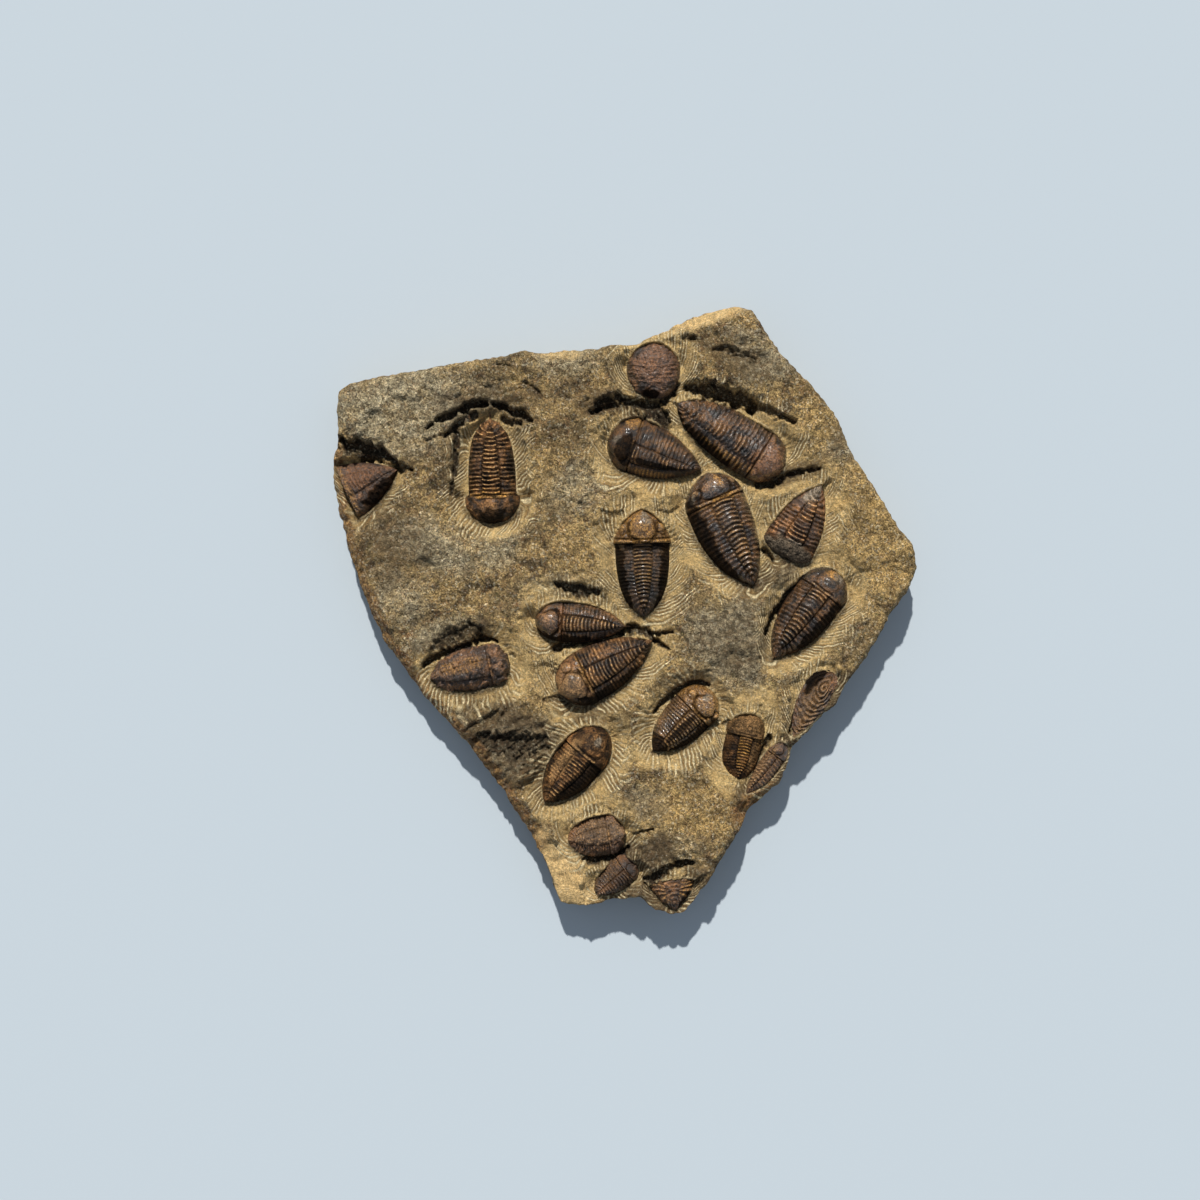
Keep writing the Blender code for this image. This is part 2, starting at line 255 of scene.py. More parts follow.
FOSSILS = [
    Fossil("trilobite_left_edge", (-0.1393, 0.0594), (-0.1145, 0.0706), 0.0288, slot="fossil_red",
        head_share=0.0, taper=1.6, floor=0.019, height=0.0095, rings=7, tail_share=0.45, fan=True,
        rough=0.45, steep=1.0, sweep=1.6, lobe=1.2, rib_depth=0.42, banding=0.45, waver=2.0, moat=0.0045,
        roll=0.2,
        stains_and_shadows=(("ochre", 0.0, 0.0, 0.12, 1.3), ("red", 0.4, 0.4, 0.4, 0.6),
                ("black_and_shadow", 0.75, -0.7, 0.6, 0.42))),
    Fossil("trilobite_upper_left", (-0.0662, 0.0434), (-0.0678, 0.0962), 0.0278, bright=1.65,
        head_share=0.22, blunt=0.75, taper=3.8, neck=0.265, waist=0.13, rings=13, spine=0.008, steep=0.8,
        waver=1.3, flank_tone=0.55, lobe=1.5, ring_depth=1.5, rib_depth=1.1, notch=0.1, glabella=1.0,
        crisp=0.2, eyes=0.4, sweep=0.5, crest=4.0, hand=50.0, moat=0.0068, step=0.6, ochre_rings=0.08,
        banding=1.9, rough=0.48, polish=0.5,
        stains_and_shadows=(("ochre", 0.285, 0.0, 0.05, 0.85), ("black_and_shadow", 0.02, 0.0, 0.13, 0.8))),
    Fossil("trilobite_top_rolled", (0.0143, 0.135), (0.0143, 0.1062), 0.0273, slot="fossil_red",
        head_share=0.5, taper=2.0, blunt=0.5, neck=0.0, ball=True, rings=13, glabella=0.0, eyes=0.0,
        tail_share=0.1, rough=0.55, banding=0.3, waver=2.4, lobe=0.1, axis=0.0, ring_depth=0.24,
        rib_depth=0.24, notch=0.0, sweep=-0.9, flank_tone=1.0, moat=0.006,
        stains_and_shadows=(("black_and_shadow", 0.93, -0.2, 0.1, 0.6), ("red", 0.4, 0.1, 0.45, 0.8))),
    Fossil("trilobite_upper_pair_small", (-0.0085, 0.0862), (0.0382, 0.0714), 0.0263, taper=2.2, blunt=0.85,
        bow=-0.001, left=1.22, height=0.0105, roll=-0.3, glabella=1.8, eyes=0.0, crisp=0.35, banding=0.75,
        polish=0.6, glabella_width=0.52, steep=0.25, rings=13, lobe=1.4, rib_depth=0.7, sweep=0.5,
        notch=0.1,
        stains_and_shadows=(("ochre", 0.5, -0.78, 0.22, 0.12), ("ochre", 0.2, 0.8, 0.1, 0.25),
                ("black_and_shadow", 0.55, -0.42, 0.35, 0.13), ("black_and_shadow", 0.2, -0.2, 0.1, 0.6),
                ("grey", 0.09, 0.1, 0.05, 0.2))),
    Fossil("trilobite_upper_pair_large", (0.0794, 0.0706), (0.0264, 0.1039), 0.0273, bright=1.25,
        head_share=0.22, taper=3.2, blunt=0.7, floor=0.0195, height=0.0125, rings=15, roll=0.1, steep=0.45,
        lobe=1.1, rib_depth=1.1, ring_depth=1.1, notch=0.1, glabella=1.4, crisp=0.25, axis=0.5,
        glabella_width=0.7, eyes=0.4, sweep=0.4, collar=0.3, rough=0.38, flank_tone=0.65, banding=0.75,
        polish=0.85,
        stains_and_shadows=(("ochre", 0.45, 0.72, 0.28, 0.16), ("red", 0.12, 0.1, 0.17, 0.9),
                ("black_and_shadow", 0.7, 0.95, 0.35, 0.35))),
    Fossil("trilobite_centre_large", (0.0401, 0.0689), (0.0643, 0.0128), 0.0315, bright=1.15,
        head_share=0.25, blunt=0.75, bow=-0.0015, height=0.013, roll=0.2, ochre_rings=0.7, axis=0.6,
        rings=14, peak=0.5, waver=1.4, glabella_width=0.66, crisp=0.5, eyes=1.3, lobe=2.2, ring_depth=1.05,
        rib_depth=0.8, collar=1.0, sweep=0.9, flank_tone=0.7,
        stains_and_shadows=(("ochre", 0.25, 0.1, 0.035, 0.8), ("grey", 0.16, -0.72, 0.04, 0.1),
                ("ochre", 0.12, 0.3, 0.06, 0.12), ("black_and_shadow", 0.6, -0.85, 0.45, 0.36))),
    Fossil("trilobite_tail_up", (0.0797, 0.0259), (0.0985, 0.0633), 0.0256, slot="fossil_red", bright=2.1,
        head_share=0.15, taper=2.4, blunt=0.85, left=1.1, floor=0.0205, height=0.0095, glabella=0.0,
        crest=3.2, eyes=0.0, spine=0.004, tail_share=0.34, blank_front=0.26, sweep=1.0, neck=0.1,
        ring_depth=1.0, lobe=1.4, rough=0.3, banding=1.1, flank_tone=0.8, waver=1.3,
        stains_and_shadows=(("grey", 0.06, 0.0, 0.2, 1.2), ("grey", 0.95, 0.2, 0.25, 0.6))),
    Fossil("trilobite_ochre_head", (0.0083, 0.0514), (0.0093, -0.003), 0.03, slot="fossil_ochre",
        head_share=0.33, blunt=0.7, height=0.0115, rings=14, ochre_head=0.9, ochre_rings=0.5, axis=0.4,
        polish=0.65, peak=1.0, glabella=1.8, glabella_width=0.56, eyes=1.5, lobe=1.7, sweep=0.6, step=1.3,
        waist=0.08, rough=0.12, waver=1.3, ring_depth=0.85, rib_depth=0.75, notch=0.2, collar=1.0,
        spine=0.0015, flank_tone=0.55,
        stains_and_shadows=(("grey", 0.09, 0.22, 0.08, 0.28), ("black_and_shadow", 0.36, 0.0, 0.03, 0.9),
                ("black_and_shadow", 0.66, 0.92, 0.34, 0.32), ("black_and_shadow", 0.66, -0.92, 0.34, 0.32))),
    Fossil("trilobite_middle_small", (-0.0453, -0.005), (0.0001, -0.0078), 0.0222, bright=1.25,
        head_share=0.3, taper=2.6, right=0.9, height=0.01, glabella=2.8, glabella_width=0.6, eyes=0.0,
        spine=0.003, roll=-0.05, ochre_rings=0.4, sweep=0.5, rings=12, steep=0.2, polish=0.75, waver=1.6,
        stains_and_shadows=(("black_and_shadow", 0.35, -0.85, 0.35, 0.22), ("red", 0.3, 0.0, 0.05, 0.9))),
    Fossil("trilobite_middle_large", (-0.034, -0.0402), (0.0135, -0.015), 0.03, bright=1.5, head_share=0.3,
        taper=2.2, blunt=0.85, left=0.9, floor=0.0195, height=0.0125, glabella=3.0, eyes=0.9, lobe=1.7,
        roll=-0.12, rib_depth=0.75, rings=14, sweep=0.4, notch=0.15, flank_tone=0.7, polish=0.6, waver=1.6,
        stains_and_shadows=(("red", 0.14, 0.6, 0.14, 0.35), ("ochre", 0.3, 0.1, 0.03, 0.7),
                ("tan", 0.13, 0.1, 0.15, 0.8), ("black_and_shadow", 0.45, -0.85, 0.4, 0.25))),
    Fossil("trilobite_far_left", (-0.0581, -0.0252), (-0.0978, -0.034), 0.0222, slot="fossil_red",
        bright=1.1, head_share=0.25, taper=3.6, blunt=0.7, height=0.01, rough=0.95, banding=0.4, waver=3.0,
        roll=0.1, steep=0.6, ring_depth=0.4, rib_depth=0.35, lean=-0.6, moat=0.01, eyes=0.3, glabella=1.6,
        stains_and_shadows=(("ochre", 0.6, -0.3, 0.35, 0.4),)),
    Fossil("trilobite_right_lower", (0.107, 0.0194), (0.0746, -0.0234), 0.0258, bright=1.28,
        head_share=0.25, taper=3.0, floor=0.0195, height=0.0115, rough=0.36, waver=1.5, roll=-0.15,
        steep=0.4, polish=0.7, glabella=1.1, crisp=0.4, eyes=0.3, rings=13, rib_depth=1.0, ring_depth=1.0,
        spine=0.002, sweep=0.5, banding=1.1,
        stains_and_shadows=(("grey", 0.02, 0.3, 0.08, 0.5), ("ochre", 0.06, -0.2, 0.05, 0.4),
                ("black_and_shadow", 0.55, 0.75, 0.4, 0.28))),
    Fossil("trilobite_centre_lower", (0.0443, -0.0408), (0.014, -0.0701), 0.0237, slot="fossil_ochre",
        bright=1.3, head_share=0.28, height=0.0105, roll=0.22, spine=0.004, lean=-0.5, ochre_head=0.7,
        ochre_rings=0.45, ochre_ribs=0.45, banding=1.2, steep=0.6, neck=0.33, rings=12, step=0.9,
        glabella=2.2, eyes=1.4, sweep=0.4, rough=0.32, waver=1.6,
        stains_and_shadows=(("grey", 0.1, -0.05, 0.06, 0.2), ("black_and_shadow", 0.58, 0.12, 0.26, 0.15),
                ("black_and_shadow", 0.6, 0.9, 0.4, 0.3), ("black_and_shadow", 0.92, 0.0, 0.12, 1.2))),
    Fossil("trilobite_lower_left", (-0.0098, -0.0592), (-0.0405, -0.096), 0.0258, bright=1.72,
        head_share=0.35, taper=2.6, floor=0.0195, height=0.012, roll=0.05, glabella=1.8, crisp=0.4,
        eyes=0.3, polish=0.35, peak=0.4, lean=-0.5, glabella_width=0.6, neck=0.36, step=1.4, rings=12,
        rough=0.22, sweep=0.4, rib_depth=0.7, ochre_ribs=0.12,
        stains_and_shadows=(("grey", 0.15, 0.08, 0.05, 0.15), ("tan", 0.5, -0.5, 0.3, 0.3),
                ("black_and_shadow", 0.62, 0.7, 0.36, 0.55))),
    Fossil("trilobite_right_edge_flat", (0.104, -0.0311), (0.0842, -0.0638), 0.0192, slot="fossil_red",
        bright=1.2, head_share=0.3, taper=2.0, blunt=0.9, left=0.64, floor=0.0245, height=0.0035, lobe=0.3,
        step=0.0, glabella=0.0, eyes=0.0, ring_depth=1.0, rib_depth=1.0, notch=0.0, moat=0.003, rough=0.5,
        banding=0.75, waver=2.4, sweep=0.0, neck=0.0, tail_share=0.2, rounds=True, axis=0.0,
        stains_and_shadows=(("black_and_shadow", 0.15, -0.7, 0.3, 0.3), ("tan", 0.6, 0.0, 0.5, 0.8))),
    Fossil("trilobite_lower_right", (0.064, -0.0512), (0.0563, -0.0845), 0.0226, head_share=0.3, taper=4.2,
        blunt=0.55, left=0.76, floor=0.0215, height=0.007, neck=0.36, polish=0.3, ochre_rings=0.6,
        glabella=0.5, glabella_width=0.7, eyes=0.0, lobe=1.0, rib_depth=0.5, step=1.2, crisp=0.5,
        rough=0.35, rings=10, ring_depth=0.6, waist=0.05,
        stains_and_shadows=(("tan", 0.15, 0.0, 0.28, 1.5), ("tan", 0.6, 0.7, 0.35, 0.35))),
    Fossil("trilobite_lower_right_edge", (0.0797, -0.0659), (0.0608, -0.0918), 0.0126, slot="fossil_red",
        bright=1.4, head_share=0.25, right=0.66, floor=0.0215, height=0.007, rings=9, glabella=0.8,
        eyes=0.0, lobe=0.8, roll=-0.2, moat=0.004, rib_depth=0.7, sweep=0.3, ochre_ribs=0.4, banding=0.7,
        waver=1.5, rough=0.25,
        stains_and_shadows=(("tan", 0.6, -0.5, 0.5, 0.5),)),
    Fossil("trilobite_bottom_left", (0.0, -0.1107), (-0.0287, -0.1153), 0.0217, slot="fossil_red",
        bright=1.15, head_share=0.3, taper=3.0, blunt=0.6, floor=0.0195, height=0.009, rough=0.8,
        banding=0.4, waver=2.6, rings=10, glabella=1.0, eyes=0.0, moat=0.006, notch=0.0, ring_depth=0.6,
        ochre_ribs=0.3,
        stains_and_shadows=(("tan", 0.4, -0.2, 0.5, 0.6),)),
    Fossil("trilobite_bottom_fan", (0.005, -0.1262), (-0.015, -0.1418), 0.016, slot="fossil_red",
        bright=0.75, head_share=0.25, taper=3.0, blunt=0.7, floor=0.0185, height=0.008, rings=9,
        glabella=0.3, eyes=0.0, rough=0.4, banding=0.65, waver=1.8, moat=0.005, roll=0.3, ochre_ribs=0.8,
        rib_depth=0.7, sweep=0.2),
    Fossil("trilobite_bottom_wedge", (0.0232, -0.1345), (0.0254, -0.1508), 0.0235, slot="fossil_red",
        bright=1.25, head_share=0.14, taper=1.5, blunt=0.9, floor=0.018, height=0.0085, rings=3,
        tail_share=0.66, fan=True, glabella=0.0, eyes=0.0, rough=0.5, banding=0.55, waver=2.2, moat=0.005,
        ochre_ribs=0.8, rib_depth=0.8, ring_depth=0.45, flank_tone=1.0, sweep=0.4, neck=0.0, step=0.0,
        lobe=0.4, axis=0.4, notch=0.1,
        stains_and_shadows=(("black_and_shadow", 0.75, 0.75, 0.3, 0.3),)),
]

# Hollows, gashes and cracks in the face, in millimetres: how deep each is, then its run of places with radii.
HOLLOWS = [
    (9, [(-142.5, 85.5, 2.5), (-138, 83, 4), (-131, 81.5, 4.5), (-124.5, 80, 3.5), (-118.5, 77, 2),
         (-114.5, 74.5, 1)]),
    (4, [(-115.5, 73, 1), (-111.5, 72, 1.8), (-106.5, 70.5, 0.8)]),
    (6, [(-99, 91.5, 0.6), (-93.5, 96, 1.3), (-87, 98.5, 2), (-81, 101, 1.6), (-75, 103.5, 2.4),
         (-69.5, 104, 1.6)]),
    (5, [(-90, 87.5, 0.7), (-84.5, 92.5, 2), (-79.5, 96.5, 2.2), (-74.5, 99, 1.6)]),
    (6, [(-66.5, 104, 1), (-61.5, 102, 2.4), (-57, 99.5, 1.8), (-52, 98.5, 2.2), (-46.5, 95, 0.7)]),
    (5, [(-61.5, 97, 1.4), (-56.5, 94.5, 2), (-52, 94, 1)]),
    (5, [(-84, 88.5, 1.6), (-84.5, 81, 1.7), (-85, 73.5, 1.5), (-86, 66, 1.5), (-87, 58.5, 1)]),
    (2, [(-100, 84.5, 0.4), (-95, 87, 0.6), (-88.5, 89, 0.4)]),
    (9, [(-1.5, 106, 1.5), (4.5, 104.5, 2.5), (10, 102.5, 4), (15.5, 100.5, 5.6), (19, 97.5, 4.5),
         (20.5, 93, 2.5)]),
    (7, [(20, 105.5, 3), (24, 110.5, 2.5), (26.5, 113.5, 1.5)]),
    (5, [(-14.5, 103, 2), (-8.5, 105.5, 2.5), (-2.5, 107, 2)]),
    (4, [(-17, 99.5, 1.5), (-11.5, 100.5, 2.2), (-5, 102, 2.5), (1, 103, 2)]),
    (9, [(30, 112.5, 1.5), (36.5, 112.5, 2.5), (44, 111, 4), (51.5, 108.5, 4.5), (59, 105.5, 4),
         (64.5, 103, 2.5)]),
    (4, [(64.5, 103, 2.5), (71, 100.5, 2), (78.5, 97.5, 1.5), (84.5, 94.5, 1)]),
    (6, [(67, 63, 2), (72.5, 64, 2.5), (77.5, 66, 2), (83.5, 69, 1.5), (91, 70.5, 1), (97.5, 71, 0.6)]),
    (6, [(69.5, 31, 1.3), (72, 28, 1.5), (74, 25.5, 1)]),
    (9, [(94, 18.5, 1.5), (89.5, 14.5, 2.3), (85, 10, 2.5), (80.5, 5.5, 2.5), (76.5, 0.5, 2.3),
         (73, -5.5, 1.8), (70.5, -11.5, 1)]),
    (6, [(-35, 14, 0.8), (-30, 12.5, 2), (-24, 11, 2.8), (-17.5, 10, 2.3), (-13.5, 9.5, 1.3)]),
    (7, [(-35, -18.5, 2), (-30, -17, 1.8), (-22.5, -15, 1.5), (-15, -13.5, 1.5), (-7.5, -11, 1.8),
         (-1.5, -9, 2), (5, -8.5, 2.3), (10, -10.5, 2.5), (14, -14, 2), (18, -16.5, 1.3), (22, -19, 0.6)]),
    (5, [(13, -11.5, 1.5), (18, -11, 1), (24, -10.5, 0.5)]),
    (8, [(-101, -27, 1), (-96.5, -23.5, 2), (-90.5, -21, 2), (-84, -19, 1.8), (-78, -16, 1.8),
         (-72, -13.5, 1.5), (-67, -14, 1), (-64, -15.5, 0.5)]),
    (3.5, [(-96.5, -19, 2), (-90.5, -15, 3), (-84, -11.5, 3.5), (-78, -9.5, 3.5), (-73, -9, 2)]),
    (5, [(14.5, -51, 0.8), (18, -46.5, 1.5), (22, -43, 2), (27, -39.5, 2), (32, -36.5, 1.8),
         (37, -35.5, 1.5), (42, -37, 0.8)]),
    (3.5, [(-73, -63, 2.5), (-65.5, -64.5, 4.5), (-57, -66.5, 5.6), (-48, -66.5, 5.1), (-40.5, -64.5, 3)]),
    (7, [(-21, -124.5, 1.3), (-16.5, -124.5, 2), (-11, -124, 2.3), (-5.5, -123, 2), (-1, -121, 1.5),
         (2, -118.5, 1)]),
    (6, [(10, -135, 1.5), (15.5, -133, 2.5), (20, -130, 2.5), (25, -127.5, 2.3), (30, -126, 1.5),
         (34, -125.5, 0.8)]),
    (6, [(86.5, -45, 0.6), (85, -51, 1), (83.5, -57, 1), (82.5, -60.5, 0.6)]),
    (6, [(72.5, -63.5, 1.5), (70.5, -66.5, 1.8), (68.5, -70.5, 1.3), (64.5, -78, 0.8)]),
    (3, [(49, -57, 0.8), (52, -55.5, 1)]),
    (3, [(4, -112, 0.5), (8, -110, 0.8), (14, -109, 0.4)]),
    (1.5, [(-64.5, 123, 0.5), (-60, 123, 0.6), (-55.5, 121, 0.5)]),
    (2, [(-50.5, 114.5, 0.5), (-46.5, 112.5, 0.7), (-41.5, 107.5, 0.6)]),
    (2.5, [(-11.5, 50, 1), (-6.5, 48, 1.5), (-1.5, 49.5, 1)]),
    (2, [(16, 50, 0.8), (22, 49, 1.3), (27, 52, 0.8)]),
    (3, [(-40.5, -44.5, 1), (-34.5, -43.5, 1.5), (-28.5, -45, 1.5)]),
    (3, [(30, 136.5, 1.5), (34.5, 136, 1.5)]),
    (2.5, [(44, 130.5, 1), (50.5, 131.5, 1.5), (58, 128, 2), (64.5, 125.5, 1.5)]),
]

# Ridges of the old surface, written as the hollows are.
RIDGES = [
    (2.5, [(67, 11.5, 4.0), (76, 16.5, 5), (85, 21.5, 5), (92.5, 25.5, 3)]),
    (1.2, [(-104, -13, 4), (-92, -7, 5), (-80, -2, 4)]),
    (1.0, [(45, -20, 9), (60, -14, 10)]),
    (1.2, [(-132, 108, 8), (-112, 105, 9), (-98, 101, 5)]),
]

# Rugged patches: x, y, radius along and radius across in metres, turn in degrees, how rough in millimetres,
# and the turn of the ribs.
RUGGED_PATCHES = [
    (-0.059, -0.066, 0.034, 0.02, -38, 6.0, 35), (-0.069, 0.107, 0.03, 0.01, 8, 3.2, 10),
    (0.054, 0.129, 0.024, 0.01, -25, 3.0, -20), (-0.015, 0.105, 0.015, 0.01, 0, 3.6, 20),
    (-0.085, -0.014, 0.022, 0.007, 18, 2.8, 18), (-0.088, 0.074, 0.007, 0.02, 0, 3.0, 70),
    (0.076, 0.019, 0.02, 0.007, 30, 2.0, 30), (0.028, -0.032, 0.018, 0.008, 10, 1.8, 15),
    (-0.018, -0.05, 0.018, 0.008, -20, 2.0, -25), (0.016, -0.127, 0.016, 0.007, 20, 2.4, 20),
    (-0.005, 0.048, 0.008, 0.006, 0, 1.4, 0), (0.088, 0.07, 0.015, 0.006, 15, 1.8, 15),
    (0.076, -0.06, 0.009, 0.011, 60, 2.0, 60), (-0.048, -0.063, 0.019, 0.011, -30, 3.2, 35),
    (0.02, -0.14, 0.018, 0.01, 10, 2.2, 40), (0.064, -0.093, 0.012, 0.007, 50, 2.2, 50),
    (-0.023, 0.011, 0.017, 0.006, -15, 1.6, -15),
]

# Patches of colour: x, y, radius along and radius across in metres, turn in degrees, strength.
GREY_PATCHES = [
    (-0.111, 0.101, 0.04, 0.022, 10, 1.0), (-0.024, 0.0605, 0.017, 0.013, 30, 0.7),
    (-0.094, 0.032, 0.024, 0.014, -20, 0.9), (-0.066, 0.03, 0.013, 0.009, 0, 0.8),
    (0.055, -0.0165, 0.022, 0.025, 20, 1.2), (0.008, -0.095, 0.013, 0.008, -20, 0.5),
    (-0.03, 0.125, 0.018, 0.008, 0, 0.8), (0.065, 0.127, 0.018, 0.01, -30, 0.8),
    (0.086, 0.016, 0.017, 0.008, 35, 1.0), (-0.056, -0.067, 0.024, 0.012, 20, 1.2),
    (-0.112, 0.008, 0.015, 0.015, 0, 0.7), (-0.093, -0.012, 0.016, 0.006, 20, 0.9),
    (-0.033, 0.013, 0.02, 0.006, 0, 0.6), (0.023, -0.115, 0.015, 0.007, -20, 0.3),
    (0.109, 0.081, 0.01, 0.008, 0, 0.6), (-0.057, 0.077, 0.006, 0.018, 0, 0.5),
    (-0.09, -0.056, 0.015, 0.01, -40, 0.7),
]
OCHRE_PATCHES = [
    (0.124, 0.04, 0.02, 0.033, 25, 1.0), (0.037, -0.0985, 0.025, 0.017, 20, 1.0),
    (0.02, -0.048, 0.014, 0.02, 20, 0.8), (0.007, 0.066, 0.022, 0.007, -12, 0.8),
    (-0.082, 0.05, 0.013, 0.02, 0, 0.5), (-0.015, 0.025, 0.023, 0.012, 20, 0.7),
    (-0.045, 0.07, 0.012, 0.02, 0, 0.6), (0.095, 0.1, 0.012, 0.02, 35, 0.6),
    (-0.074, -0.048, 0.02, 0.008, -40, 0.5), (0.045, 0.008, 0.018, 0.012, 0, 0.6),
]
UMBER_PATCHES = [
    (-0.056, -0.066, 0.034, 0.019, -38, 1.4), (-0.047, -0.063, 0.02, 0.012, -30, 1.4),
    (-0.085, -0.014, 0.021, 0.006, 18, 1.2),
    (0.056, -0.016, 0.02, 0.023, 20, 1.0),
    (-0.013, 0.105, 0.013, 0.007, 0, 1.0), (0.01, 0.097, 0.015, 0.007, 0, 1.2),
    (0.056, 0.126, 0.02, 0.01, -25, 0.8), (0.064, -0.093, 0.015, 0.008, 50, 1.5),
    (0.003, -0.124, 0.021, 0.007, 15, 1.1), (-0.07, 0.105, 0.028, 0.007, 5, 1.0),
    (0.088, -0.058, 0.008, 0.011, 60, 0.9), (0.086, 0.069, 0.016, 0.005, 20, 1.0),
    (-0.116, 0.033, 0.017, 0.026, 20, 0.85), (-0.086, 0.076, 0.005, 0.02, 0, 0.9),
    (0.075, 0.018, 0.022, 0.008, 30, 1.3), (0.006, -0.095, 0.017, 0.006, -25, 0.6),
    (-0.018, -0.051, 0.019, 0.008, -20, 0.9), (0.029, -0.033, 0.017, 0.006, 15, 0.8),
    (-0.025, 0.011, 0.017, 0.005, -15, 0.8), (-0.056, 0.064, 0.006, 0.018, 0, 0.6),
    (0.019, -0.149, 0.031, 0.015, 0, 3.0), (0.003, -0.144, 0.018, 0.01, 10, 2.0),
    (0.035, -0.137, 0.013, 0.008, 55, 1.6), (0.079, -0.08, 0.019, 0.012, 50, 2.5),
    (0.101, -0.048, 0.02, 0.009, 50, 2.2), (0.107, 0.089, 0.008, 0.005, 60, 0.8),
    (0.012, -0.1215, 0.013, 0.0085, 20, 2.4), (-0.012, -0.12, 0.018, 0.004, 5, 1.0),
]
FRESH_PATCHES = [
    (-0.029, -0.134, 0.023, 0.012, -68, 1.5), (0.047, 0.15, 0.026, 0.0055, 22, 1.2),
    (-0.034, 0.1285, 0.012, 0.004, -4, 0.7),
]


# ---------------------------------------------------------------- noise and small helpers
def ease(low, high, value):
    """0 below low, 1 above high, and a smooth rise between them."""
    share = np.clip((value - low) / (high - low), 0.0, 1.0)
    return share * share * (3.0 - 2.0 * share)


def lattice(ix, iy, seed):
    """A fixed number from 0 to 1 for every whole-numbered point."""
    n = ix.astype(np.int64) * 73856093 ^ iy.astype(np.int64) * 19349663 ^ (seed * 83492791)
    n = (n & 0x7FFFFFFF) * 1103515245 + 12345
    n = (n ^ (n >> 15)) & 0x7FFFFFFF
    n = (n * 48271) % 2147483647
    return (n & 0xFFFF) / 65535.0


def noise(x, y, size, seed):
    """Gradient noise from about -1 to 1, with features about size across."""
    turn = 0.7 * seed
    across = (x * math.cos(turn) - y * math.sin(turn)) / size + 37.1 * seed
    along = (x * math.sin(turn) + y * math.cos(turn)) / size - 11.3 * seed
    ix, iy = np.floor(across), np.floor(along)
    fx, fy = across - ix, along - iy
    total = 0.0
    for cx in (0, 1):
        for cy in (0, 1):
            angle = 2.0 * math.pi * lattice(ix + cx, iy + cy, seed)
            slope = np.cos(angle) * (fx - cx) + np.sin(angle) * (fy - cy)
            near_x = ease(0.0, 1.0, 1.0 - np.abs(fx - cx))
            near_y = ease(0.0, 1.0, 1.0 - np.abs(fy - cy))
            total = total + slope * near_x * near_y
    return 1.5 * total


def layers(x, y, size, seed, count=3, keep=0.5):
    """Noise with finer noise on it."""
    total = 0.0
    for i in range(count):
        total = total + keep ** i * noise(x, y, size / 2.1 ** i, seed + i)
    return total


def turned(x, y, degrees):
    """How far places lie along an axis turned from +X, and how far beside it."""
    c, s = math.cos(math.radians(degrees)), math.sin(math.radians(degrees))
    return x * c + y * s, y * c - x * s


def ellipse(x, y, patch):
    """How far each point is from a patch's centre, 1 on its edge."""
    px, py, along, across, turn = patch[:5]
    far, off = turned(x - px, y - py, turn)
    return np.hypot(far / along, off / across)


def box_round(x, y, places, reach):
    """The numbers of the points in the places' bounding box, grown by the reach."""
    low, high = places.min(axis=0) - reach, places.max(axis=0) + reach
    return np.flatnonzero((x > low[0]) & (x < high[0]) & (y > low[1]) & (y < high[1]))


def nearest(x, y, polygon, closed=True):
    """Distance to a run of segments, the nearest segment's number with its share, and the way there."""
    best = np.full(len(x), 1e9)
    where = np.zeros(len(x))
    way_x, way_y = np.zeros(len(x)), np.zeros(len(x))
    count = len(polygon) if closed else len(polygon) - 1
    for i in range(count):
        ax, ay = polygon[i][:2]
        bx, by = polygon[(i + 1) % len(polygon)][:2]
        ex, ey = bx - ax, by - ay
        share = np.clip(((x - ax) * ex + (y - ay) * ey) / max(ex * ex + ey * ey, 1e-18), 0.0, 1.0)
        dx, dy = x - ax - share * ex, y - ay - share * ey
        distance = np.hypot(dx, dy)
        closer = distance < best
        best[closer] = distance[closer]
        where[closer] = i + share[closer]
        way_x[closer], way_y[closer] = dx[closer], dy[closer]
    return best, where, way_x, way_y


def inside(x, y, polygon):
    """Which points lie in a closed polygon."""
    odd = np.zeros(len(x), bool)
    for i in range(len(polygon)):
        ax, ay = polygon[i][:2]
        bx, by = polygon[i - 1][:2]
        crosses = (ay > y) != (by > y)
        odd ^= crosses & (x < (bx - ax) * (y - ay) / ((by - ay) if by != ay else 1e-12) + ax)
    return odd


def bell(value, centre, spread):
    """1 at the centre, falling off smoothly to both sides."""
    return np.exp(-(((value - centre) / spread) ** 2))


# ---------------------------------------------------------------- the rock
def outward(loop):
    """Unit normals of a counter-clockwise loop, smoothed over a few points."""
    tangent = np.roll(loop, -3, axis=0) - np.roll(loop, 3, axis=0)
    length = np.hypot(tangent[:, 0], tangent[:, 1])[:, None]
    return np.stack([tangent[:, 1], -tangent[:, 0]], axis=1) / length


def rim_polygon():
    """The face's own edge: the outline drawn in a little and broken up, at even steps."""
    corners = np.array(OUTLINE)
    points = []
    for a, b in zip(corners, np.roll(corners, -1, axis=0)):
        steps = max(1, round(float(np.hypot(*(b - a)[:2])) / RIM_STEP))
        points += [a + (b - a) * i / steps for i in range(steps)]
    points = np.array(points)
    loop = points[:, :2]
    for _ in range(2):
        loop[:] = 0.5 * loop + 0.25 * (np.roll(loop, 1, axis=0) + np.roll(loop, -1, axis=0))
    x, y = loop[:, 0], loop[:, 1]
    chips = 0.0007 * layers(x, y, 0.009, 61, 3) + 0.0004 * noise(x, y, 0.0024, 65)
    loop -= outward(loop) * (WALL_BULGE + np.clip(chips, -0.0008, 0.0010))[:, None]
    return points


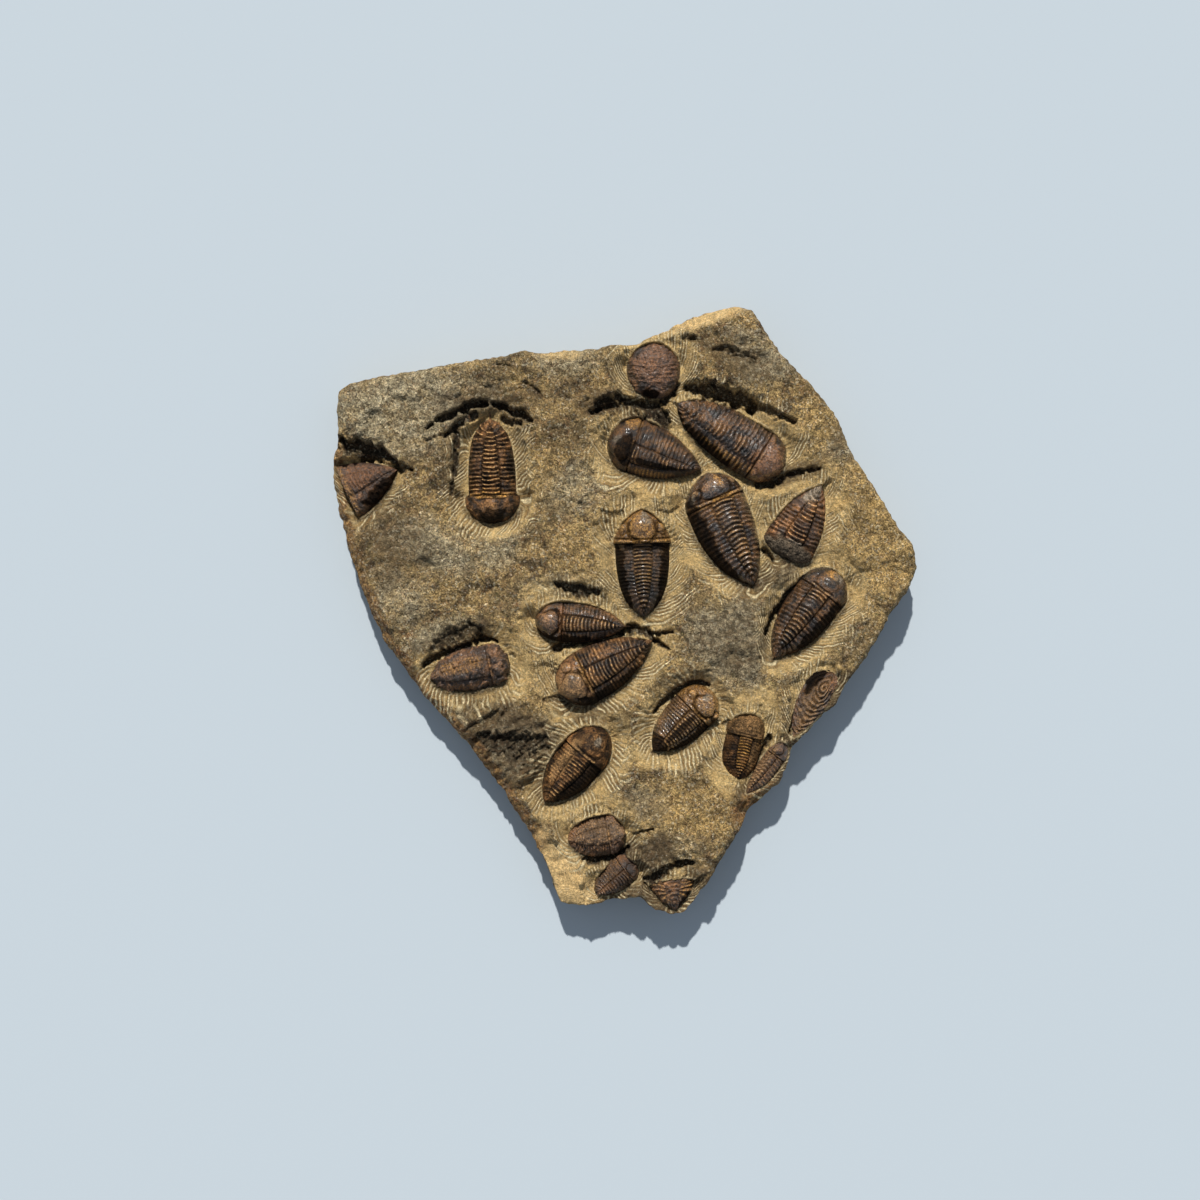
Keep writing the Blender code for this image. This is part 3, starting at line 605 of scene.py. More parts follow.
def near_fossils(x, y, reach):
    """For each fossil, the points near it, their distance to its plan, and how far outward is towards +Y."""
    found = []
    for fossil in FOSSILS:
        plan = fossil.outline()
        some = box_round(x, y, plan, reach)
        distance, _, _, way_y = nearest(x[some], y[some], plan)
        sign = np.where(inside(x[some], y[some], plan), -1.0, 1.0)
        found.append((fossil, some, sign * distance, sign * way_y / np.maximum(distance, 1e-9)))
    return found


def fossil_distance(x, y):
    """Distance to the nearest fossil's plan, below 0 inside it."""
    closest = np.full(len(x), FAR)
    for _, some, distance, _ in near_fossils(x, y, 0.016):
        closest[some] = np.minimum(closest[some], distance)
    return closest


def chisel_strokes(fossil, number, x, y, distance, spacing, lean, near, far):
    """The strokes' running number at each point, and how deep the nearest one is cut there."""
    length, whole, rise, stretch = fossil.round_about(x, y)
    count = max(8, round(whole / spacing))
    wander = 0.45 * noise(x, y, 0.0085, 71) + 0.26 * noise(x, y, 0.0030, 73)
    wander = wander + 0.36 * noise(length, 0.3 * distance, 0.0048, 72 + number)
    wander = wander + 0.90 * noise(length, 0.6 * distance, 0.0150, 74 + number)
    swing = lean * (1.0 + 0.5 * noise(x, y, 0.024, 79))
    phase = (length - swing * distance * rise) / whole * count + wander
    stroke = np.floor(phase)
    first, last, deep = (lattice(stroke, np.full(len(x), number), seed) for seed in (81, 82, 83))
    start = near + 0.0011 * first
    end = far * (0.50 + 0.70 * last)
    cut = ease(start - 0.0004, start + 0.0003, distance) * (1.0 - ease(end - 0.0008, end + 0.0006, distance))
    wrap = ease(0.0, 0.0012, np.minimum(length, whole - length))
    gaps = ease(-0.55, -0.10, noise(x, y, 0.013, 75))
    unstretched = 1.0 - ease(1.4, 2.1, stretch)
    return phase, cut * (0.18 + 0.82 * ease(0.08, 0.75, deep)) * wrap * gaps * unstretched


def stroke_line(phase, cut):
    """How near each point is to the middle of its stroke, times its depth."""
    return cut * (1.0 - ease(0.06, 0.34, np.abs(phase - np.floor(phase) - 0.5)))


def patches(x, y, table, most=1.0):
    """The strength of the strongest patch at each point, with ragged edges."""
    total = np.zeros(len(x))
    wobble = 0.35 * layers(x, y, 0.013, 31, 4, 0.6)
    for patch in table:
        total = np.maximum(total, patch[5] * (1.0 - ease(0.45, 1.35, ellipse(x, y, patch) + wobble)))
    return np.clip(total, 0.0, most)


def run_share(x, y, run, gentle=1.0):
    """Distance to a run of places as a share of the radius there, with a gentler fall on its lower side."""
    run = np.array(run) * MM
    share = np.full(len(x), 9.0)
    some = box_round(x, y, run[:, :2], run[:, 2].max() * 2.5)
    _, where, way_x, way_y = nearest(x[some], y[some], run, closed=False)
    away = np.hypot(way_x, np.where(way_y < 0.0, way_y * gentle, way_y))
    share[some] = away / np.interp(where, np.arange(len(run)), run[:, 2])
    return share


def rugged(x, y):
    """Sharp broken ribs of rock, which run one way in each patch."""
    total = np.zeros(len(x))
    for patch in RUGGED_PATCHES:
        share = 1.0 - ease(0.5, 1.25, ellipse(x, y, patch) + 0.25 * noise(x, y, 0.008, 117))
        along, across = turned(x, y, patch[6])
        ribs = np.abs(layers(along * 0.34, across, 0.0068, 121, 4, 0.6))
        total = np.maximum(total, share * patch[5] * ribs)
    return total * MM


def worn_surface(x, y):
    """The old surface of the bed: swells, low broken terraces and ridges."""
    z = FACE + 0.0009 * layers(x, y, 0.050, 1, 3) + 0.0010 * layers(x, y, 0.011, 5, 4, 0.65)
    for size, seed, high in ((0.034, 91, 0.0012), (0.022, 94, 0.0009), (0.014, 97, 0.0006)):
        z = z + high * ease(-0.04, 0.04, layers(x, y, size, seed, 4, 0.55))
    for high, run in RIDGES:
        z = z + high * MM * (1.0 - ease(0.3, 1.3, run_share(x, y, run) + 0.15 * noise(x, y, 0.006, 99)))
    return z


def rim_fall(x, y, rim):
    """How far the face falls towards its edge, and where it is freshly split and where deeply broken."""
    edge, where, _, _ = nearest(x, y, rim)
    first = np.floor(where).astype(int) % len(rim)
    share = (where - np.floor(where))[:, None]
    slope = rim[first] * (1.0 - share) + rim[(first + 1) % len(rim)] * share
    width, depth = slope[:, 2], slope[:, 3]
    broken = np.clip(1.0 - edge / (width * (1.0 + 0.35 * layers(x, y, 0.012, 13, 3))), 0.0, 1.0)
    fresh = patches(x, y, FRESH_PATCHES)
    uneven = 1.0 + 0.25 * (1.0 - fresh) * layers(x, y, 0.006, 17, 3)
    fall = depth * broken ** (1.15 - 0.75 * fresh) * uneven
    rounding = 0.0012 * (1.0 - ease(0.0, 0.0020, edge)) ** 2
    return np.maximum(fall, rounding), fresh, ease(0.02, 0.35, broken) * ease(0.0045, 0.008, depth)


def carve_moats(x, y, ground):
    """Carve a moat round each fossil into the ground.

    Gives how carved each point is, the shadow painted on it beside a tall fossil, away from the sun, its
    distance to the closest fossil, and two sets of chisel strokes: the phase and the cut of the first, then
    of the second.
    """
    count = len(x)
    carved, lip, shade = np.zeros(count), np.zeros(count), np.zeros(count)
    closest, second = np.full(count, FAR), np.full(count, FAR)
    strokes = np.zeros((4, count))
    for number, (fossil, some, distance, up) in enumerate(near_fossils(x, y, 0.020)):
        px, py = x[some], y[some]
        above = ease(0.1, 0.8, up)
        buried = np.maximum(ground[some] - 0.0030 - fossil.floor, 0.0) * (1.0 - fossil.steep) * above
        rise = 0.0004 + 0.0028 * (1.0 - ease(-0.7, 0.3, up)) + buried
        under = ease(-0.0022, -0.0003, distance)
        bottom = fossil.floor + rise * under - SOCKET_DROP * (1.0 - under) + 0.0003 * noise(px, py, 0.006, 19)
        wide = fossil.moat * (1.0 + 0.35 * noise(px, py, 0.014, 21)) * (1.0 + (0.5 - fossil.steep) * above)
        out = np.clip((distance - 0.0008) / wide, 0.0, 1.0)
        bank = bottom + (np.maximum(ground[some], bottom) - bottom) * out ** 1.15
        ground[some] = np.minimum(ground[some], bank)
        carved[some] = np.maximum(carved[some], 1.0 - ease(wide * 0.75, wide * 1.45, distance))
        bump = ease(-0.45, 0.3, noise(px, py, 0.009, 23)) * bell(distance, LIP_AT, LIP_SPREAD)
        lip[some] = np.maximum(lip[some], bump)
        # Painted shadow: the moat close to a tall fossil, on its side away from the sun, is darkened.
        painted_shadow = 0.75 * (1.0 - ease(0.0006, 0.0034, distance + 0.0006 * noise(px, py, 0.003, 25)))
        shade[some] = np.maximum(shade[some], painted_shadow * ease(0.0, -0.6, up) * (fossil.height > TALL))

        near = distance < closest[some]
        second[some] = np.where(near, closest[some], np.minimum(second[some], distance))
        ours = some[near]
        closest[ours] = distance[near]
        sets = ((STROKE_SPACING, fossil.lean, 0.0001, fossil.moat + 0.0048),
                (CROSS_SPACING, -fossil.lean, CROSS_START, fossil.moat + 0.0075))
        for row, (spacing, lean, start, far) in enumerate(sets):
            strokes[2 * row, ours], cut = chisel_strokes(
                fossil, number + 40 * row, x[ours], y[ours], distance[near], spacing, lean, start, far
            )
            strokes[2 * row + 1, ours] = cut * (1.0 - 0.85 * fossil.steep * above[near])
    ground += LIP_HEIGHT * lip
    apart = ease(0.0002, 0.0012, second - closest)
    crossed = ease(0.05, 0.30, noise(x, y, 0.017, 77))
    strokes[1] *= apart * (1.0 - 0.85 * crossed * ease(CROSS_START, 0.0070, closest))
    strokes[3] *= apart * crossed
    return carved, shade, closest, strokes


def sink_hollows(x, y, ground, carved):
    """Sink the hollows, gashes and cracks into the ground. Gives the shade painted in them, strongest in
    their middles and in the deeper ones.
    """
    dark = np.zeros(len(x))
    uneven = 0.42 * layers(x, y, 0.0055, 27, 4, 0.65)
    uneven = uneven + 0.55 * ease(0.15, 0.65, noise(x + 0.6 * y, 0.25 * y, 0.0026, 29))
    for deep, run in HOLLOWS:
        dip = 1.0 - ease(0.45, 1.25, run_share(x, y, run, 0.55) + uneven)
        ground -= deep * MM * dip * (1.0 - 0.30 * carved)
        dark = np.maximum(dark, ease(0.35, 0.9, dip) * min(1.0, deep / 5.0))
    return dark


def rock_face(x, y, rim):
    """Height of the slab's face, and the masks that its material mixes, at every point."""
    torn = rugged(x, y)
    fall, fresh, broken = rim_fall(x, y, rim)
    ground = worn_surface(x, y) - torn - fall
    carved, shade, closest, strokes = carve_moats(x, y, ground)
    # Painted shade: in the deep gaps of the rugged patches, in the hollows, and beside the tall fossils away
    # from the sun.
    gashes = 0.58 * ease(0.0014, 0.0032, torn) * (1.0 - carved)
    dark = np.maximum(np.maximum(gashes, sink_hollows(x, y, ground, carved)), shade)

    lines = np.maximum(stroke_line(*strokes[:2]), 0.7 * stroke_line(*strokes[2:]))
    lines = lines * (1.0 - ease(0.75 * CARVED_REACH, 1.05 * CARVED_REACH, closest))
    grain = GRAIN * layers(x, y, 0.0032, 9, 3, 0.75) * (1.0 - 0.45 * carved)
    pecked = 0.00016 * noise(x, y, 0.0016, 33) * carved
    ground = np.maximum(ground + grain - CUT_DEPTH * lines + pecked, LOWEST)

    umber = patches(x, y, UMBER_PATCHES, UMBER_MOST)
    cuts = strokes[1::2] * (1.0 - 0.25 * np.minimum(umber, 1.0)) * (1.0 - 0.6 * dark)
    return ground, {
        "edge": np.clip(closest / MM, -3.0, 12.0),
        "hatch": strokes[0],
        "cut": cuts[0],
        "hatch_two": strokes[2],
        "cut_two": cuts[1],
        "carved": carved * (1.0 - 0.5 * dark),
        "grey": patches(x, y, GREY_PATCHES),
        "ochre": patches(x, y, OCHRE_PATCHES),
        "umber": umber,
        "fresh": fresh,
        "dark": dark,
        "broken": broken,
    }


def face_points(rim):
    """Points over the face: close together where the rock is carved, apart elsewhere and under fossils."""
    low, high = rim[:, :2].min(axis=0), rim[:, :2].max(axis=0)
    rows = int((high[1] - low[1]) / (FINE * ROW)) + 1
    columns = int((high[0] - low[0]) / FINE) + 1
    j, i = np.meshgrid(np.arange(rows), np.arange(columns), indexing="ij")
    i, j = i.ravel(), j.ravel()
    shake = 0.17 * FINE
    x = low[0] + (i + 0.5 * (j % 2)) * FINE + shake * (2.0 * lattice(i, j, 3) - 1.0)
    y = low[1] + j * FINE * ROW + shake * (2.0 * lattice(i, j, 4) - 1.0)
    distance = fossil_distance(x, y)
    reach = CARVED_REACH * (1.0 + 0.25 * noise(x, y, 0.012, 35))
    near_dark = np.zeros(len(x), bool)
    for _, run in HOLLOWS:
        near_dark |= run_share(x, y, run) < 1.4
    fine = ((distance > -0.0016) & (distance < reach)) | near_dark
    middle = (i % 2 == 0) & (j % 2 == 0) & (distance > -0.0032)
    coarse = (i % 4 == 0) & (j % 4 == 0)
    keep = fine | middle | coarse
    keep[keep] &= inside(x[keep], y[keep], rim)
    edge = np.full(len(x), FAR)
    edge[keep] = nearest(x[keep], y[keep], rim)[0]
    keep &= edge > 0.55 * RIM_STEP
    return x[keep], y[keep]


def triangulate(x, y, loop):
    """Triangles over the points and the closed loop round them. The loop's points come first."""
    px, py = np.concatenate([loop[:, 0], x]), np.concatenate([loop[:, 1], y])
    count = len(loop)
    edges = [(i, (i + 1) % count) for i in range(count)]
    # The triangulation's own tolerance suits numbers near one, so it works in millimetres.
    points = [Vector(p) for p in np.stack([px, py], axis=1) / MM]
    made = delaunay_2d_cdt(points, edges, [], 0, 1e-6, True)
    source = np.array([ids[0] for ids in made[3]])
    faces = source[np.array(made[2])]
    return px, py, faces[inside(px[faces].mean(axis=1), py[faces].mean(axis=1), loop)]


def wall_rings(heights, loop):
    """Rings of points from the face's edge, whose heights are given, down to the underside's."""
    normal = outward(loop)
    run = np.concatenate([[0.0], np.cumsum(np.hypot(*(np.roll(loop, -1, axis=0) - loop).T))])[:-1]
    rings = []
    for k in range(1, WALL_RINGS + 1):
        down = k / WALL_RINGS
        height = heights * (1.0 - down) + WALL_FOOT_HEIGHT * down
        drawn_in = WALL_FOOT * max(0.0, down - 0.6) / 0.4
        bulge = WALL_BULGE * math.sin(math.pi * min(1.0, down * 1.25)) - drawn_in
        bedding = 0.0008 * noise(run, height * 2.2, 0.010, 41) + 0.0005 * layers(run, height, 0.0045, 43, 3)
        steps = 0.0006 * np.sign(noise(run, height * 3.0, 0.016, 47))
        fade = math.sin(math.pi * min(1.0, down)) ** 0.6
        out = bulge + (bedding + steps) * fade
        ripple = 0.0004 * noise(run, height, 0.004, 49) * fade
        rings.append(np.column_stack([loop + normal * out[:, None], height + ripple]))
    return rings


def wall_triangles(count, base):
    """Triangles between the wall's rings, and the numbers of the last ring's points."""
    above = np.arange(count)
    quads = []
    for k in range(WALL_RINGS):
        below = base + k * count + np.arange(count)
        quads.append(np.column_stack([above, below, np.roll(below, -1), np.roll(above, -1)]))
        above = below
    quads = np.concatenate(quads)
    return np.concatenate([quads[:, [0, 1, 2]], quads[:, [0, 2, 3]]]), above


def back_height(x, y, edge):
    """The underside: rough, touching the ground in places and never below it."""
    swell = 0.0007 * layers(x, y, 0.045, 51, 3) + 0.0004 * layers(x, y, 0.013, 55, 2)
    terrace = 0.0011 * ease(-0.06, 0.06, layers(x, y, 0.036, 57, 3, 0.55))
    return np.clip(UNDERSIDE + swell + terrace, 0.0, 0.004) + 0.0015 * (1.0 - ease(0.0, 0.006, edge))


def back_masks(x, y):
    """The underside's weathered patches, which the material mixes as it mixes the face's."""
    weathered = layers(x, y, 0.048, 58, 3)
    return {
        "broken": 0.12 + 0.60 * ease(-0.20, 0.35, layers(x, y, 0.055, 62, 3)),
        "grey": ease(0.0, 0.4, weathered),
        "ochre": ease(0.0, 0.4, -weathered),
        "umber": 0.9 * ease(0.20, 0.55, layers(x, y, 0.024, 66, 4, 0.6)),
    }


def back_side(foot):
    """The underside's points and triangles. The points of the wall's foot come first."""
    low, high = foot.min(axis=0), foot.max(axis=0)
    x, y = np.meshgrid(np.arange(low[0], high[0], BACK_STEP), np.arange(low[1], high[1], BACK_STEP))
    x, y = x.ravel(), y.ravel()
    keep = inside(x, y, foot) & (nearest(x, y, foot)[0] > 0.4 * BACK_STEP)
    x, y, triangles = triangulate(x[keep], y[keep], foot)
    return np.column_stack([x, y, back_height(x, y, nearest(x, y, foot)[0])]), triangles


def set_masks(mesh, masks):
    """Store each mask as a number on every point, for the material to read."""
    for name, values in masks.items():
        layer = mesh.attributes.new(name, "FLOAT", "POINT")
        layer.data.foreach_set("value", np.asarray(values, np.float32))


def mesh_from(name, points, faces):
    """A mesh object from an array of points and an array of triangles, smooth all over."""
    faces = np.asarray(faces, np.int32)
    mesh = bpy.data.meshes.new(name)
    mesh.vertices.add(len(points))
    mesh.vertices.foreach_set("co", np.asarray(points, np.float32).ravel())
    mesh.loops.add(faces.size)
    mesh.loops.foreach_set("vertex_index", faces.ravel())
    mesh.polygons.add(len(faces))
    mesh.polygons.foreach_set("loop_start", np.arange(0, faces.size, faces.shape[1], dtype=np.int32))
    mesh.update(calc_edges=True)
    mesh.validate()
    mesh.shade_smooth()
    thing = bpy.data.objects.new(name, mesh)
    bpy.context.scene.collection.objects.link(thing)
    return thing


def build_rock():
    """The slab as one closed mesh: its face, its side walls and its underside."""
    rim = rim_polygon()
    loop = rim[:, :2]
    x, y, front = triangulate(*face_points(rim), loop)
    z, masks = rock_face(x, y, rim)
    count, base = len(loop), len(z)

    rings = wall_rings(z[:count], loop)
    sides, foot = wall_triangles(count, base)
    back, back_triangles = back_side(rings[-1][:, :2])
    rings[-1][:, 2] = back[:count, 2]
    inner = back[count:]
    start = base + WALL_RINGS * count
    number = np.concatenate([foot, start + np.arange(len(inner))])

    points = np.concatenate([np.column_stack([x, y, z]), *rings, inner])
    triangles = np.concatenate([front, sides, number[back_triangles][:, ::-1]])
    rock = mesh_from("rock_slab", points, triangles)
    for name in masks:
        masks[name] = np.concatenate([masks[name], np.zeros(len(points) - base)])
    masks["broken"][base:] = 1.0
    for name, values in back_masks(inner[:, 0], inner[:, 1]).items():
        masks[name][start:] = values
    set_masks(rock.data, masks)
    return rock


# ---------------------------------------------------------------- the trilobites
def dome(radius, power=0.6):
    """1 in the middle, 0 from radius 1 on."""
    return np.clip(1.0 - radius ** 2, 0.0, 1.0) ** power


def bands(count, seed, power):
    """One rounded band to every whole number, no two quite alike, with a groove between."""
    wave = (0.5 - 0.5 * np.cos(2.0 * math.pi * count)) ** power
    return wave * (0.70 + 0.48 * lattice(np.floor(count), np.zeros_like(count), seed))


def head_relief(fossil, ahead, side, uneven):
    """Relief, painted shade and painted light of the head (the light partly its own paler collar and eyes),
    where ahead runs from 0 at its front to 1 at the neck.
    """
    sharp = fossil.crisp * min(1.0, 0.6 * fossil.glabella)
    seen = min(1.0, fossil.eyes)
    wide = fossil.glabella_width * (0.86 + 0.26 * ahead)
    bulb_radius = np.hypot((ahead - 0.48) / 0.46, side / wide) + uneven
    bulb = dome(bulb_radius)
    around = bell(bulb_radius, 1.07, 0.11) * ease(0.10, 0.35, ahead)
    relief = fossil.glabella * bulb - 0.55 * sharp * around
    for place, size, high in ((0.80, 0.12, 0.8), (0.60, 0.09, 0.45)):
        relief = relief + sharp * high * dome(np.hypot(ahead - place, side - wide * 0.98) / size)
    cheek = dome(np.hypot((ahead - 0.62) / 0.36, (side - 0.76) / 0.26))
    relief = relief + 0.5 * sharp * cheek
    eye = dome(np.hypot(ahead - 0.55, side - 0.73) / 0.135, 0.8)
    socket = bell(np.hypot(ahead - 0.60, side - 0.73), 0.165, 0.035)
    relief = relief + fossil.eyes * (eye - 0.35 * socket)
    curved = ahead + 0.05 * side ** 2
    ring_edge = 1.0 - ease(fossil.collar - 0.12, fossil.collar + 0.05, side)
    ring = 0.55 * bell(curved, 0.955, 0.032) - 0.50 * bell(curved, 0.885, 0.022)
    relief = relief + sharp * ring * ring_edge
    relief = relief - 0.20 * bell(ahead, 0.07, 0.03)
    shade = fossil.crisp * around + 0.8 * socket * seen + bell(curved, 0.885, 0.03) * ring_edge
    light = 0.36 + 0.22 * bulb + 0.45 * bell(curved, 0.955, 0.04) * ring_edge + 0.5 * eye * seen
    return relief, np.clip(shade, 0.0, 1.0), np.clip(light, 0.0, 1.0)


def rib_counts(fossil, along, side, waver, lobe_half):
    """The running numbers of the ring and of the rib at each point, with a groove at each whole number."""
    neck, rump = fossil.neck, 1.0 - fossil.tail_share
    period = (rump - neck) / fossil.rings
    half = 0.5 * fossil.width / fossil.length
    if fossil.rounds:
        rounds = np.hypot(along - 0.24, side * half * 1.3) / period + waver
        return rounds, rounds + RIB_SHIFT
    placed = along + waver * period
    arched = placed - 0.40 * period * np.minimum(side / lobe_half, 1.2) ** 2
    tail_rings = fossil.rings + 5.0 * (arched - rump) / (1.0 - rump)
    rings = np.where(arched < rump, (arched - neck) / period, tail_rings)
    back = 0.35 * np.maximum(side - lobe_half, 0.0) + 1.5 * np.maximum(side - 0.55, 0.0) ** 1.5
    swept = placed - fossil.sweep * period * back
    if fossil.fan:
        beyond = 5.0 - 5.0 * np.arctan2(side * half, np.maximum(swept - rump, 1e-9)) / (0.5 * math.pi)
    else:
        beyond = 7.0 * (swept - rump) / (1.0 - rump) * (1.0 - 0.6 * side)
    ribs = np.where(swept < rump, (swept - neck) / period, fossil.rings + beyond)
    return rings, ribs + RIB_SHIFT


def body_relief(fossil, along, side, seed, waver):
    """Relief of the axial lobe's rings and of the flanks' ribs. Also where axis, ridges and furrows are."""
    rump = 1.0 - fossil.tail_share
    rump_share = np.clip((along - rump) / (1.0 - rump), 0.0, 1.0)
    ending = np.clip(1.0 - (rump_share / 0.86) ** 1.6, 0.0, 1.0) ** 0.7
    lobe_half = np.maximum((0.38 - 0.12 * ease(fossil.neck, 1.0, along)) * ending, 0.02)
    from_lobe = side / lobe_half
    on_axis = 1.0 - ease(0.82, 1.16, from_lobe)
    off_axis = 1.0 - on_axis
    ring_count, rib_count = rib_counts(fossil, along, side, waver, lobe_half)
    ring = bands(ring_count, seed, fossil.crest)
    rib = bands(rib_count, seed + 3, fossil.crest)
    split = bell(rib_count - np.floor(rib_count), 0.52, 0.11) * ease(lobe_half + 0.03, lobe_half + 0.16, side)

    fade = (1.0 - 0.65 * rump_share ** 1.5) * (1.0 - 0.7 * ease(0.84, 1.0, side))
    lobe = fossil.lobe * dome(from_lobe, 0.7) * (1.0 - 0.45 * rump_share)
    lobe = lobe - 0.45 * fossil.axis * bell(from_lobe, 1.08, 0.13) * (1.0 - rump_share)
    banked = bell(side, 0.64, 0.06) * ease(-0.2, 0.3, noise(along * fossil.length, side, 0.0060, seed + 5))
    ribs = on_axis * fossil.ring_depth * ring + off_axis * (fossil.rib_depth * rib - fossil.notch * split)
    ridge = (on_axis * ring + off_axis * (rib - 0.5 * split * (fossil.notch > 0.2))) * fade
    ridge = ridge + 0.45 * banked * rib * off_axis
    furrow = fossil.axis * bell(from_lobe, 1.08, 0.16) * (1.0 - 0.6 * rump_share)
    return lobe + (ribs + 0.3 * banked * rib) * fade, on_axis, np.clip(ridge, 0.0, 1.0), furrow


def stain_and_shadow_masks(fossil, along, across, wobble):
    """The fossil's stain patches, some of them painted shadow, as one mask for each tone."""
    masks = {tone: np.zeros_like(along) for tone in STAIN_AND_SHADOW_TONES}
    for tone, at, aside, long, wide in fossil.stains_and_shadows:
        away = np.hypot((along - at) / long, (across - aside) / wide) + wobble
        masks[tone] = np.maximum(masks[tone], 1.0 - ease(0.7, 1.15, away))
    return masks


def fossil_relief(fossil, number, along, across):
    """Anatomy on the back in millimetres, and the masks that the material mixes."""
    side = np.abs(across - fossil.roll * (1.0 - across ** 2))
    neck, seed = fossil.neck, 101 + 11 * number
    far, off = along * fossil.length, across * fossil.half_width(along)
    waver = fossil.waver * (0.14 * noise(far, off, 0.0050, seed) + 0.10 * noise(far, off, 0.0120, seed + 1))

    relief, on_axis, ridge, furrow = body_relief(fossil, along, side, seed, waver)
    tone = fossil.banding * (1.0 - (1.0 - fossil.flank_tone) * (1.0 - on_axis))
    faded = ease(-0.7, 0.2, noise(far, 0.7 * off, 0.0070, seed + 22))
    ridge = 0.30 + tone * (0.38 + 0.62 * faded) * (ridge - 0.30)
    in_head = np.zeros_like(along)
    if neck and not fossil.rounds:
        in_head = 1.0 - ease(neck - 0.006, neck + 0.006, along)
        uneven = 0.15 * noise(far, off, 0.0065, seed + 6) + 0.08 * noise(far, off, 0.0028, seed + 7)
        head, shade, light = head_relief(fossil, np.clip(along / neck, 0.0, 1.2), side, uneven)
        drop = fossil.step * (1.0 - ease(neck, neck + 0.28, along)) + 0.55 * bell(along, neck + 0.004, 0.008)
        relief = in_head * head + (1.0 - in_head) * (relief - drop)
        # The head's painted light and shade go into the ridge and furrow masks, with a band of painted shade
        # behind the head.
        ridge = in_head * light + (1.0 - in_head) * ridge
        furrow = in_head * shade + (1.0 - in_head) * furrow + bell(along, neck + 0.006, 0.010)
    furrow = furrow * min(1.0, fossil.banding)
    if fossil.blank_front:
        ragged = along + 0.05 * noise(far, off, 0.004, seed + 2)
        kept = ease(fossil.blank_front - 0.05, fossil.blank_front, ragged)
        fold = bell(along, fossil.blank_front - 0.02, 0.03)
        lumps = 0.8 * layers(far, off, 0.0070, seed + 12, 3, 0.6)
        relief = relief * kept - 1.3 * fold + lumps * (1.0 - kept)
        ridge = ridge * kept

    worn = fossil.rough * (layers(far, off, 0.0022, seed + 4, 3) + 0.9 * noise(far, off, 0.0060, seed + 8))
    crack = bell(layers(far, off, 0.011, seed + 15, 3), 0.0, 0.045)
    crack = crack * CRACKED * ease(-0.10, 0.25, noise(far, off, 0.016, seed + 16))
    mottle = noise(far, 0.5 * off, 0.0110, seed + 20) + 0.5 * noise(far, off, 0.0040, seed + 21)
    on_rings = fossil.ochre_rings * on_axis * (1.0 - ease(0.72, 0.9, along))
    on_body = (0.25 + 0.75 * ease(-0.30, 0.40, mottle)) * (on_rings + fossil.ochre_ribs * (1.0 - on_axis))
    ochre = fossil.ochre_head * in_head + (1.0 - in_head) * on_body
    masks = stain_and_shadow_masks(fossil, along, across, 0.3 * noise(far, off, 0.0035, seed + 9))
    masks["ochre"] = np.maximum(masks["ochre"], ochre)
    masks["ridge"] = ridge
    masks["furrow"] = np.maximum(furrow, 0.8 * crack)
    masks["dull"] = np.full_like(along, 1.0 - fossil.polish)
    masks["bright"] = np.full_like(along, fossil.bright / BRIGHTEST)
    return relief + (worn - 0.35 * crack), {name: np.clip(values, 0.0, 1.0) for name, values in masks.items()}


def back_surface(fossil, along, across):
    """The bare arched back, without its anatomy."""
    x, y = fossil.plan(along, across)
    arch = np.clip(1.0 - np.abs(across) ** 2.3, 0.0, 1.0) ** 0.56
    if fossil.ball:
        profile = np.sqrt(np.clip(1.0 - (2.0 * along - 1.0) ** 2, 0.0, 1.0))
    else:
        profile = np.ones_like(along)
        if fossil.head_share:
            nose = np.clip(along / 0.20, 0.0, 1.0)
            profile = np.sqrt(np.clip(1.0 - (1.0 - nose) ** 2, 0.0, 1.0))
        profile = profile * (1.0 - 0.55 * np.clip((along - 0.5) / 0.5, 0.0, 1.0) ** 1.8)
        profile = profile - 0.30 * ease(1.0, 1.0 + max(fossil.spine / fossil.length, 0.02), along)
    return np.stack([x, y, fossil.floor + fossil.height * profile * arch], axis=-1)


def tube_triangles(rows, width):
    """Triangles over rows of points that each close in a ring, and over both ends."""
    a = (np.arange(rows - 1)[:, None] * width + np.arange(width)[None]).ravel()
    b = (np.arange(rows - 1)[:, None] * width + (np.arange(width)[None] + 1) % width).ravel()
    parts = [np.column_stack([a, b, b + width]), np.column_stack([a, b + width, a + width])]
    for row, turn in ((0, 1), (rows - 1, -1)):
        ids = row * width + np.arange(width)
        parts.append(np.column_stack([np.full(width - 2, ids[0]), ids[2:], ids[1:-1]])[:, ::turn])
    return np.concatenate(parts)


